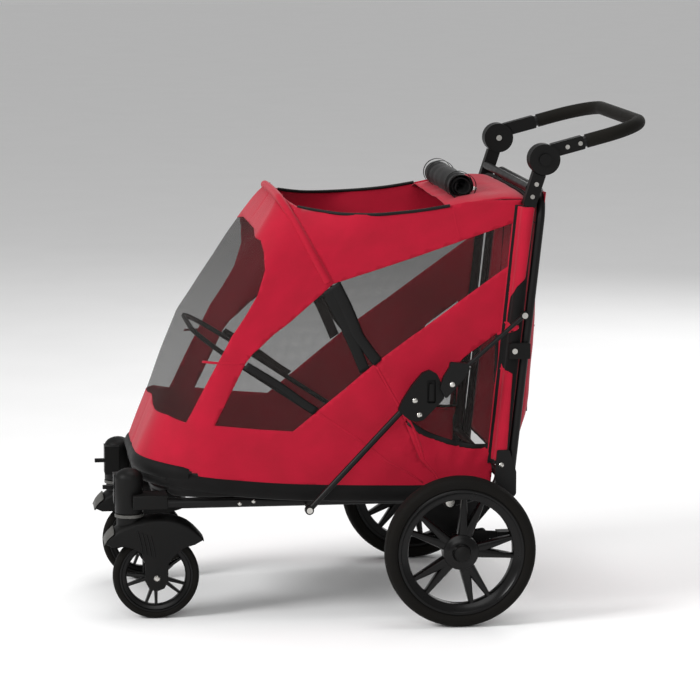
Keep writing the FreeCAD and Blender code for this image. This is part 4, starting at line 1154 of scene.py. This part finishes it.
@dataclass
class TrayBand:
    """The padded black band round the foot of the cover and the slack layer under it."""

    top: tuple = CabinCover.hem
    top_side: tuple = CabinCover.hem_side
    under: tuple = ((-640, 20), (-560, 20), (-440, 3), (70, 2))

    def build(self) -> None:
        """Builds the band, its lower layer and the piping."""
        line = [SKIN.front(x, z) for x, z in self.top] + [SKIN.side(y, z) for y, z in self.top_side[:-1]]
        line.append(SKIN.side(66, 266))
        path = smooth_path(line, 10.0)
        count = len(path) - 1

        def spot(u: float) -> tuple[int, Vector]:
            i = min(round(abs(u * 2 - 1) * count), count)
            return (1 if u >= 0.5 else -1), path[i]

        def padding(u: float, v: float) -> Vector:
            hand, point = spot(u)
            x, y, z = SKIN.rolled(point.x, point.y, -3 + 9 * math.sin(math.pi * min(max(v, 0.0), 1.0)) ** 0.6)
            return at(hand * x, y, z + 6 - v * 33)

        def underlayer(u: float, v: float) -> Vector:
            hand, point = spot(u)
            deep = span(SKIN.rolled(point.x, point.y)[1], self.under)
            x, y, z = SKIN.rolled(point.x, point.y, -5 + 6 * math.sin(math.pi * min(max(v, 0.0), 1.0)) ** 0.6)
            return at(hand * x, y, z - 23 - v * deep)

        length = sum((b - a).length for a, b in zip(path, path[1:])) * 2 * MM
        for name, shape, wide in (("tray_band_padding", padding, 0.04), ("tray_underlayer", underlayer, 0.014)):
            bm = sheet_mesh((count * 2, 9), shape, (length, wide))
            piece = thicken(piece_from(bm, name, BLACK_CANVAS, 60, False), 2.0)
            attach(piece, "chassis")
            declare(piece)
        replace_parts(bpy.data.objects["tray_band_padding"], "tray_band")
        edge = [underlayer(i / 120, 1.0) for i in range(121)]
        cord = piece_from(tube_mesh(edge, 1.9, 8), "tray_piping", GREY_PIPING, 60)
        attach(cord, "chassis")


# ------------------------------------------------------------------------------------------------ soft goods


def post_line(z: float) -> float:
    """Y of a rear post's centre line.

    Args:
        z: the height in millimetres.

    Returns:
        Millimetres behind the rear axle.
    """
    return 148 - (848 - z) * 60 / 586


def span(value: float, stops: Sequence[Flat]) -> float:
    """Reads a value off a run of straight lines.

    Args:
        value: where to read it.
        stops: (where, what) pairs, rising.

    Returns:
        The value there, level beyond both ends.
    """
    if value <= stops[0][0]:
        return stops[0][1]
    for (x0, y0), (x1, y1) in zip(stops, stops[1:]):
        if value <= x1:
            return y0 + (y1 - y0) * (value - x0) / (x1 - x0)
    return stops[-1][1]


@dataclass
class PostSleeve:
    """Cloth that joins the cover's rear edge to a post: red over black, cut away round the strut and the clip."""

    bend: tuple = ((250.3, -26), (254, -18), (262, -13.5), (272, -12.3), (279.5, -8), (282.3, -1), (281.8, 6),
                   (278, 11.5), (272, 13.5))
    red_edge: tuple = ((300, 3), (343, 8), (500, 2), (507, -14), (520, -19), (547, -22), (578, -18), (589, 5),
                       (596, 6), (601, -16), (613, -16), (651, -15), (674, -8), (691, 7), (831, 11))

    def cross(self, t: float, z: float, inset: float) -> Vector:
        """A point of the sleeve.

        Args:
            t: 0 at the cover to 1 behind the post.
            z: the height.
            inset: how far inside the red cloth.

        Returns:
            The place in the frame.
        """
        place = t * (len(self.bend) - 1)
        i = min(int(place), len(self.bend) - 2)
        (x0, y0), (x1, y1) = self.bend[i], self.bend[i + 1]
        x, y = x0 + (x1 - x0) * (place - i), y0 + (y1 - y0) * (place - i)
        shrink = 1 - inset / 12
        ripple = noise.noise(Vector((x / 25, y / 20, z / 28))) * 0.8
        return at(270 + (x - 270) * shrink + ripple * 0.4, post_line(z) + y * shrink + ripple * 0.3, z)

    def reach(self, z: float) -> float:
        """How far round the red cloth goes at a height, as t.

        Args:
            z: the height.

        Returns:
            0 to 1.
        """
        edge = span(z, self.red_edge)
        for i, (_, y) in enumerate(self.bend):
            if y >= edge:
                y0 = self.bend[i - 1][1]
                return (i - 1 + (edge - y0) / (y - y0)) / (len(self.bend) - 1)
        return 1.0

    def build(self) -> None:
        """Builds both layers on both posts."""
        low, high = 322.0, 834.0

        def red(u: float, v: float) -> Vector:
            z = low + (high - low) * u
            return self.cross(v * self.reach(z), z, 0.0)

        def black(u: float, v: float) -> Vector:
            return self.cross(v, low - 8 + (high - low + 10) * u, 0.9)

        for name, shape, wide, finish, slot in (("post_sleeve_red", red, 0.05, RED_CANVAS, "red_fabric"),
                                                ("post_sleeve_black", black, 0.06, BLACK_CANVAS, "black_fabric")):
            left = piece_from(sheet_mesh((110, 16), shape, (0.51, wide)), f"{name}_left", finish, 60, False)
            for side, piece in (("left", left), ("right", mirrored(left, f"{name}_right"))):
                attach(thicken(piece, 0.7), "post_frame")
                declare(piece)


@dataclass
class Roof:
    """The cloth behind the opening, its rear binding, and the opening's cover rolled up on it."""

    profile: tuple = ((-14, 837), (8, 842), (30, 847), (62, 853), (100, 857), (138, 856), (150, 850))
    roll_y: float = 29.0
    roll_z: float = 866.0
    roll_half: float = 170.0

    def build(self) -> None:
        """Builds the roof, the roll and its straps."""
        def top(u: float, v: float) -> Vector:
            x = (v * 2 - 1) * 249.5
            y = self.profile[0][0] + (self.profile[-1][0] - self.profile[0][0]) * u
            fall = 9 * abs(v * 2 - 1) ** 9
            fold = math.sin(x / 31 + y / 19) * 1.1 * noise.noise(Vector((x / 90, y / 60, 1))) * 2
            swell = noise.noise(Vector((x / 70, y / 45, 4))) * 2.4
            return at(x, y, span(y, self.profile) - fall + (fold + swell) * (1 - abs(v * 2 - 1) ** 6))

        cloth = piece_from(sheet_mesh((20, 60), top, (0.17, 0.5)), "cover_roof_cloth", RED_CANVAS, 60, False)
        roof = thicken(cloth, 1.0)
        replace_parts(roof, "cover_roof")
        declare(roof)
        edge = [at(x, 149 - 3 * (abs(x) / 250) ** 8, 856 - 8 * (abs(x) / 250) ** 8) for x in range(-248, 249, 16)]
        binding = piece_from(tube_mesh(edge, 4.0, 8), "roof_rear_binding", BLACK_TAPE, 60)
        fan(roof)
        fan(binding)

        def rolled(u: float, v: float) -> Vector:
            turn = v * 2.35 * 2 * math.pi
            x = (u * 2 - 1) * (self.roll_half + math.sin(turn * 0.5) * 3)
            radius = 12.5 + 14.0 * v + noise.noise(Vector((x / 38, turn / 3, 2))) * 2.2
            return at(x, self.roll_y + radius * math.cos(turn + 2.4),
                      self.roll_z + radius * math.sin(turn + 2.4) * 0.94)

        roll = thicken(piece_from(sheet_mesh((44, 110), rolled, (0.34, 0.28)), "mesh_roll_cloth", BLACK_CANVAS, 60,
                                  False), 1.6, 0.0)
        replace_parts(roll, "mesh_roll")
        declare(roll)
        pieces = [(roll, "black_fabric")]
        for name, side in SIDES:
            for kind, x, wide, finish in (("strap", 118, 6, BLACK_TAPE), ("binding", 168, 4, BLACK_TAPE)):
                def hoop(u: float, v: float, x: float = x, wide: float = wide, side: int = side) -> Vector:
                    turn = u * 2 * math.pi
                    return at(side * (x + (v - 0.5) * 2 * wide), self.roll_y + 28.6 * math.cos(turn),
                              self.roll_z + 27.4 * math.sin(turn))
                ring = piece_from(sheet_mesh((48, 2), hoop, (0.18, 0.02)), f"roll_{kind}_{name}", finish, 60)
                pieces.append((thicken(ring, 0.8), "red_fabric" if finish is RED_CANVAS else "black_fabric"))
            buckle = moulding([(self.roll_y + 26, 846), (self.roll_y + 34, 842), (self.roll_y + 38, 858),
                               (self.roll_y + 30, 862)], side * 110, side * 126, 1.2)
            pieces.append((piece_from(buckle, f"roll_buckle_{name}", ZINC), "steel"))
        for piece, slot in pieces:
            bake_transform(piece, "chassis", "post_frame", start=at(0, -560, 260), end=at(0, 100, 560))
            for weight in piece.data.attributes["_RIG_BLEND"].data:
                weight.value = ROLL_SHARE


@dataclass
class GatePouch:
    """The rear gate's cloth: a pouch sewn round the hoop, with a flap pocket."""

    back: tuple = ((296, 117), (328, 127), (407, 154), (447, 159), (546, 167), (643, 169), (780, 178), (850, 182),
                   (866, 178))
    half: float = 262.0

    def hoop(self, z: float) -> float:
        """Returns: Y of the hoop's centre line at a height."""
        return 110 + (z - 262) * 0.11

    def shell(self, across: float, z: float, lift: float = 0.0) -> Vector:
        """A point of the pouch.

        Args:
            across: -1 to 1.
            z: the height.
            lift: how far it stands off the cloth.

        Returns:
            The place in the frame.
        """
        x = across * self.half
        near = abs(across) ** 10
        deep = span(z, self.back)
        crease = noise.noise(Vector((x / 120, z / 80, 5))) * 3.0 + noise.noise(Vector((x / 38, z / 130, 8))) * 1.2
        hang = math.sin(math.pi * min(max((z - 300) / 540, 0), 1)) * 4
        y = (deep + hang + crease + lift) * (1 - near) + (self.hoop(z) + 7.5) * near
        return at(x + math.copysign(lift * near, across), y, z)

    def build(self) -> None:
        """Builds the pouch, its binding and its pocket."""
        low, high = 300.0, 862.0
        pouch = piece_from(sheet_mesh((60, 56), lambda u, v: self.shell(1 - u * 2, low + (high - low) * v),
                                      (0.54, 0.57)), "gate_cloth", RED_CANVAS, 60, False)
        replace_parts(thicken(pouch, 1.2), "gate_panel")
        declare(pouch)
        ends = [self.shell(u / 15 - 1, low, 1.5) for u in range(31)]
        foot = piece_from(tube_mesh(ends, 3.2, 8), "gate_foot_binding", BLACK_TAPE, 60)
        frame_line = [(-0.72, 440), (-0.72, 760), (-0.62, 790), (0.62, 790), (0.72, 760), (0.72, 440), (0.62, 412),
                      (-0.62, 412), (-0.72, 440)]
        seam = smooth_path([self.shell(a, z, 1.0) for a, z in frame_line], 12 * MM)
        zip_tape = piece_from(tube_mesh(seam, 3.0, 8), "gate_zip_tape", BLACK_TAPE, 60)
        pocket = piece_from(sheet_mesh((30, 20), lambda u, v: self.shell(
            0.62 - u * 1.24, 430 + 150 * v, 3 + 10 * math.sin(math.pi * min(v * 0.9, 1)) ** 0.6
            * math.sin(math.pi * u) ** 0.4), (0.33, 0.15)), "gate_pocket", WINDOW_NET, 60, False)
        hem = piece_from(tube_mesh([self.shell(0.62 - u * 1.24 / 20, 580, 5.5) for u in range(21)], 3.6, 8),
                         "gate_pocket_hem", BLACK_TAPE, 60)
        declare(pocket)
        for piece, slot in ((pouch, "red_fabric"), (foot, "black_fabric"), (zip_tape, "black_fabric"),
                            (pocket, "black_fabric"), (hem, "black_fabric")):
            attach(piece, "gate")


@dataclass
class FloorPad:
    """The quilted pad on the cabin's floor, swollen by its filling."""

    half: float = 210.0
    front: float = -586.0
    rear: float = 44.0
    low: float = 264.0
    high: float = 277.0
    corner: float = 118.0
    channels: tuple = (-70.0, 70.0)
    channel_width: float = 7.0
    channel_depth: float = 5.0

    def outline(self) -> list[Flat]:
        """Returns: the pad's edge as (x, y) in millimetres, with round front corners."""
        points = [(self.half, self.rear)]
        for i in range(11):
            turn = math.pi / 2 * i / 10
            points.append((self.half - self.corner + self.corner * math.cos(turn),
                           self.front + self.corner - self.corner * math.sin(turn)))
        return points + [(-x, y) for x, y in reversed(points)]

    def build(self) -> None:
        """Builds the pad, swells it and sews its channels."""
        bm = bmesh.new()
        face = bm.faces.new([bm.verts.new(at(x, y, self.low)) for x, y in self.outline()])
        top = bmesh.ops.extrude_face_region(bm, geom=[face])["geom"]
        bmesh.ops.translate(bm, verts=[v for v in top if isinstance(v, bmesh.types.BMVert)],
                            vec=(0, 0, (self.high - self.low) * MM))
        pad = piece_from(bm, "floor_pad_quilt", PAD_CANVAS, 60)
        swell(pad, 6.0, 7.0)
        for vertex in pad.data.vertices:
            for x in self.channels:
                away = (vertex.co.x / MM - x) / self.channel_width
                if vertex.co.z > at(0, 0, 270).z:
                    vertex.co.z -= self.channel_depth * MM * math.exp(-away * away)
        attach(pad, "chassis")
        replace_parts(pad, "floor_pad")


def swell(piece: bpy.types.Object, voxel: float, most: float) -> None:
    """Fills a closed piece as a cushion is filled, by blowing its cloth up, and keeps the result in its mesh.

    Args:
        piece: the piece, at the origin.
        voxel: the remeshed grid in millimetres.
        most: how far a point may move, in millimetres.
    """
    def bake(name: str) -> None:
        graph = bpy.context.evaluated_depsgraph_get()
        mesh = bpy.data.meshes.new_from_object(piece.evaluated_get(graph), depsgraph=graph)
        mesh.name = name
        piece.modifiers.clear()
        piece.data = mesh

    remesh = piece.modifiers.new("grid", "REMESH")
    remesh.mode, remesh.voxel_size, remesh.use_smooth_shade = "VOXEL", voxel * MM, True
    bake(f"{piece.name}_grid")
    before = [v.co.copy() for v in piece.data.vertices]
    cloth = piece.modifiers.new("filling", "CLOTH")
    cloth.settings.use_pressure = True
    cloth.settings.uniform_pressure_force = 4.0
    cloth.settings.effector_weights.gravity = 0.0
    for step in range(1, 21):
        bpy.context.scene.frame_set(step)
    bake(f"{piece.name}_filled")
    bpy.context.scene.frame_set(1)
    for vertex, start in zip(piece.data.vertices, before):
        moved = vertex.co - start
        if moved.length > most * MM:
            vertex.co = start + moved.normalized() * most * MM
    smooth = piece.modifiers.new("fine", "SUBSURF")
    smooth.levels = smooth.render_levels = 1
    bake(f"{piece.name}_fine")
    piece.data.polygons.foreach_set("use_smooth", [True] * len(piece.data.polygons))


# ------------------------------------------------------------------------------------------------ mouldings


def moulding(outline: Sequence[Flat], low: float, high: float, round_off: float) -> bmesh.types.BMesh:
    """A moulded plate with rounded edges.

    Args:
        outline: its side view as (y, z).
        low: X of one face.
        high: X of the other.
        round_off: its edges' radius.

    Returns:
        The bmesh.
    """
    bm = bmesh.new()
    face = bm.faces.new([bm.verts.new(at(low, y, z)) for y, z in outline])
    made = bmesh.ops.extrude_face_region(bm, geom=[face])["geom"]
    bmesh.ops.translate(bm, verts=[v for v in made if isinstance(v, bmesh.types.BMVert)],
                        vec=((high - low) * MM, 0, 0))
    rims = [e for e in bm.edges if abs(e.verts[0].co.x - e.verts[1].co.x) < 1e-6]
    bmesh.ops.bevel(bm, geom=rims, offset=round_off * MM, affect="EDGES", segments=3, profile=0.5, material=-1)
    return bm


@dataclass
class Caster:
    """A swivelling front wheel's housing, mudguard and fork."""

    name: str
    side: int
    x: float = 190.0
    y: float = -651.0
    wheel_y: float = -598.0
    wheel_z: float = 87.5
    half: float = 34.0
    crown: float = 13.0
    ridge: tuple = ((-702, 160), (-692, 170), (-678, 180), (-661, 188), (-640, 195), (-615, 200), (-590, 202),
                    (-568, 200), (-545, 193), (-525, 182), (-511, 171), (-503, 164))
    under: tuple = ((-521, 154), (-543, 148), (-566, 129), (-575, 115), (-575, 82), (-583, 66), (-599, 60),
                    (-614, 66), (-622, 82), (-622, 118), (-628, 138), (-642, 148), (-661, 153), (-687, 153))

    def build(self) -> None:
        """Builds the fixed housing and the swivelling fork."""
        housing = self.mount()
        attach(housing, "chassis")
        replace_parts(housing, f"caster_mount_{self.name}")
        band = [(210, 26.6), (210, 29.2), (216, 29.2), (216, 26.6)]
        ring = piece_from(lathe(band, at(self.side * self.x, self.y, 0), 48, "Z"), f"caster_ring_{self.name}",
                          PALE_GREY_NYLON)
        fork = self.fork()
        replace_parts(fork, f"fork_{self.name}")
        lip = self.lip()
        slots = self.slots()
        bolt = self.bolt()
        for piece, slot in ((ring, "moulded_plastic"), (fork, "moulded_plastic"), (lip, "moulded_plastic"),
                            (slots, "moulded_plastic"), (bolt, "steel")):
            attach(piece, f"caster_{self.name}")

    def mount(self) -> bpy.types.Object:
        """Returns: the domed housing with its arm to the rail."""
        dome = [(220, 0.01), (217, 27.0), (219, 28.5), (288, 28.5)]
        dome += [(288 + 20.5 * math.sin(a), 28.5 * math.cos(a)) for a in (0.2, 0.45, 0.7, 0.95, 1.2, 1.4)]
        dome += [(308.5, 0.01)]
        bm = lathe(dome, at(self.side * self.x, self.y, 0), 48, "Z", False)
        arm = moulding([(-645, 230), (-576, 230), (-576, 258), (-645, 258)], self.side * 172, self.side * 234, 2.5)
        SpokedWheel.join(bm, arm)
        return piece_from(bm, f"caster_housing_{self.name}", NYLON, 40)

    def fork(self) -> bpy.types.Object:
        """Returns: both cheeks, the crowned mudguard over the wheel and the swivel's neck."""
        bm = bmesh.new()
        outline = [*self.ridge, *self.under]
        for inner, outer in ((self.half - 7, self.half), (-self.half, -self.half + 7)):
            cheek = moulding(outline, self.side * (self.x + inner), self.side * (self.x + outer), 1.8)
            SpokedWheel.join(bm, cheek)
        path = smooth_path([Vector((y, z, 0)) for y, z in self.ridge], 8.0)
        count = len(path) - 1
        wall = 3.0

        def crowned(u: float, v: float) -> Vector:
            point = path[min(round(u * count), count)]
            under = v > 0.5
            turn = (v * 4 - 1 if not under else 3 - v * 4) * math.pi / 2
            taper = min(1.0, (u + 0.02) * 5, (1.02 - u) * 5) ** 0.5
            drop = wall if under else 0.0
            return at(self.side * (self.x + (self.half - 0.4 - drop * 0.4) * math.sin(turn)), point.x,
                      point.y - 1.5 - drop + self.crown * taper * math.cos(turn))

        SpokedWheel.join(bm, sheet_mesh((count, 32), crowned, closed=True))
        neck = [(186, 0.01), (186, 25.5), (211, 25.5), (211, 0.01)]
        SpokedWheel.join(bm, lathe(neck, at(self.side * self.x, self.y, 0), 48, "Z", False))
        return piece_from(bm, f"caster_fork_{self.name}", NYLON, 38)

    def lip(self) -> bpy.types.Object:
        """Returns: the painted highlight along the mudguard's front lip, as a pale patch."""
        path = [(-703.5, 156), (-701, 163), (-694, 171), (-684, 179)]

        # A pale patch over the lip's front curve: a painted highlight.
        def lip_highlight(u: float, v: float) -> Vector:
            y = path[0][0] + (path[-1][0] - path[0][0]) * v
            z = span(y, path)
            turn = (u * 2 - 1) * math.pi / 2
            crown = self.crown * min(1.0, (v * 0.1 + 0.02) * 5) ** 0.5
            return at(self.side * (self.x + (self.half + 0.6) * math.sin(turn)), y, z + crown * math.cos(turn) + 0.6)

        patch = piece_from(sheet_mesh((20, 4), lip_highlight, (0.1, 0.03)), f"caster_lip_{self.name}", PALE_GREY_NYLON)
        return thicken(patch, 1.0)

    def slots(self) -> bpy.types.Object:
        """Returns: the curved grooves on both cheeks, as raised dark lines."""
        bm = bmesh.new()
        for face in (self.half + 0.1, -self.half - 0.1):
            for k in range(4):
                y = -636 + k * 8.5
                line = [at(self.side * (self.x + face), y + 9 * math.sin(t * 1.3), 184 - 3 * k - 44 * t)
                        for t in (0, 0.2, 0.4, 0.6, 0.8, 1)]
                tube_mesh(line, 1.5, 6, bm)
        return piece_from(bm, f"caster_grooves_{self.name}", RIM_ABS)

    def bolt(self) -> bpy.types.Object:
        """Returns: the wheel's axle bolt with its round heads."""
        head = [(0.01, -self.half - 6), (4.5, -self.half - 5), (6.5, -self.half - 2.5), (6.5, -self.half)]
        head += [(6.5, self.half), (6.5, self.half + 2.5), (4.5, self.half + 5), (0.01, self.half + 6)]
        profile = [(a, r) for r, a in head]
        return piece_from(lathe(profile, at(self.side * self.x, self.wheel_y, self.wheel_z), 24, closed=False),
                          f"caster_bolt_{self.name}", ZINC)


def rivets(name: str, body: str, places: Sequence[tuple[float, float, float]], radius: float = 5.0) -> None:
    """Zinc-plated round heads that face outwards.

    Args:
        name: the pieces' name, before the side.
        body: the body they ride, with {} for the side.
        places: (x, y, z) of each head's foot.
        radius: the heads' radius.
    """
    for side_name, side in SIDES:
        bm = bmesh.new()
        for x, y, z in places:
            dome = [(side * a, r) for a, r in ((-0.5, 0.01), (-0.5, radius), (0.8, radius), (1.9, radius * 0.78),
                                               (2.6, radius * 0.42), (2.8, 0.01))]
            SpokedWheel.join(bm, lathe(dome, at(side * x, y, z), 20, closed=False))
        piece = piece_from(bm, f"{name}_{side_name}", ZINC)
        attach(piece, body.format(side_name))


def hardware() -> None:
    """Adds the rivets that join tubes and mouldings."""
    rivets("rail_rivets", "chassis", ((231, -431, 238), (231, -403, 242), (231, -180, 241), (231, -152, 243)), 4.2)
    rivets("housing_rivets", "strut_lower_{}", ((297, -85, 451), (297, -76, 422)), 5.2)
    rivets("knuckle_rivets", "strut_upper_{}", ((310.4, -12, 484),), 5.2)
    rivets("foot_rivets", "post_frame", ((287.6, 92, 315),), 5.0)


# ------------------------------------------------------------------------------------------------ stage


def stage() -> None:
    """Lays the floor and sets the lights and the camera."""
    bm = bmesh.new()
    bmesh.ops.create_grid(bm, x_segments=1, y_segments=1, size=30.0)
    piece_from(bm, "floor", FLOOR_PAINT, outward=False)
    world = bpy.data.worlds.new("studio")
    world.use_nodes = True
    world.node_tree.nodes["Background"].inputs[0].default_value = (1.0, 1.0, 1.0, 1.0)
    world.node_tree.nodes["Background"].inputs[1].default_value = 0.46
    bpy.context.scene.world = world
    lamps = (("key", (2.2, -4.6, 3.2), 1.8, 210.0), ("side", (4.6, -0.6, 2.6), 2.4, 60.0),
             ("top", (0.0, 0.3, 4.4), 2.6, 60.0), ("back", (-3.6, 2.2, 2.6), 2.2, 50.0))
    for name, place, size, power in lamps:
        light = bpy.data.lights.new(name, "AREA")
        light.energy, light.size = power, size
        lamp = bpy.data.objects.new(name, light)
        lamp.location = place
        lamp.rotation_euler = (Vector((0, 0, 0.45)) - Vector(place)).to_track_quat("-Z", "Y").to_euler()
        bpy.context.scene.collection.objects.link(lamp)
    lens = bpy.data.cameras.new("camera")
    lens.lens, lens.sensor_width = 172.6, 36.0
    lens.clip_end = 60.0
    camera = bpy.data.objects.new("camera", lens)
    camera.location = at(6838.1, -1048.8, 1512.6)
    aim = at(0, -178.15, 512.15) - camera.location
    camera.rotation_euler = aim.to_track_quat("-Z", "Y").to_euler()
    bpy.context.scene.collection.objects.link(camera)
    bpy.context.scene.camera = camera
    bpy.context.scene.view_settings.view_transform = "Standard"


def dress_frame() -> None:
    """Gives the CAD's own pieces their finishes, slot by slot."""
    finishes = {"frame_paint": POWDER_COAT, "steel": ZINC, "moulded_plastic": NYLON, "rim_plastic": RIM_ABS,
                "tyre": TYRE_RUBBER, "grip_foam": GRIP_FOAM, "red_fabric": RED_CANVAS, "black_fabric": BLACK_CANVAS}
    slots = {part["node"]: part["material_slot"] for part in frame["record"]["subparts"]}
    for node, obj in frame["nodes"].items():
        finish = finishes[slots[node]]
        for slot in obj.material_slots:
            slot.material = material(finish)


def main() -> None:
    """Builds the stroller's looks, one assembly after another."""
    stage()
    dress_frame()
    for name, side in SIDES:
        SpokedWheel("rear", name, side, 342, 0, 152.5, 46, 28.5, 18, 36, 50, 6.1, 176.0, 17, 24, 9,
                    root_splay=5.0).build()
        SpokedWheel("front", name, side, 190, -598, 87.5, 29, 16, 12, 21, 34, 4.1, 280.0, 9, 8.5, 5.5).build()
        Caster(name, side).build()
        LOG.info("wheels and caster on the %s", name)
    CabinCover().build()
    TrayBand().build()
    LOG.info("cabin cover and band")
    PostSleeve().build()
    Roof().build()
    GatePouch().build()
    hardware()
    FloorPad().build()
    LOG.info("soft goods")


if __name__ == "__main__":
    main()
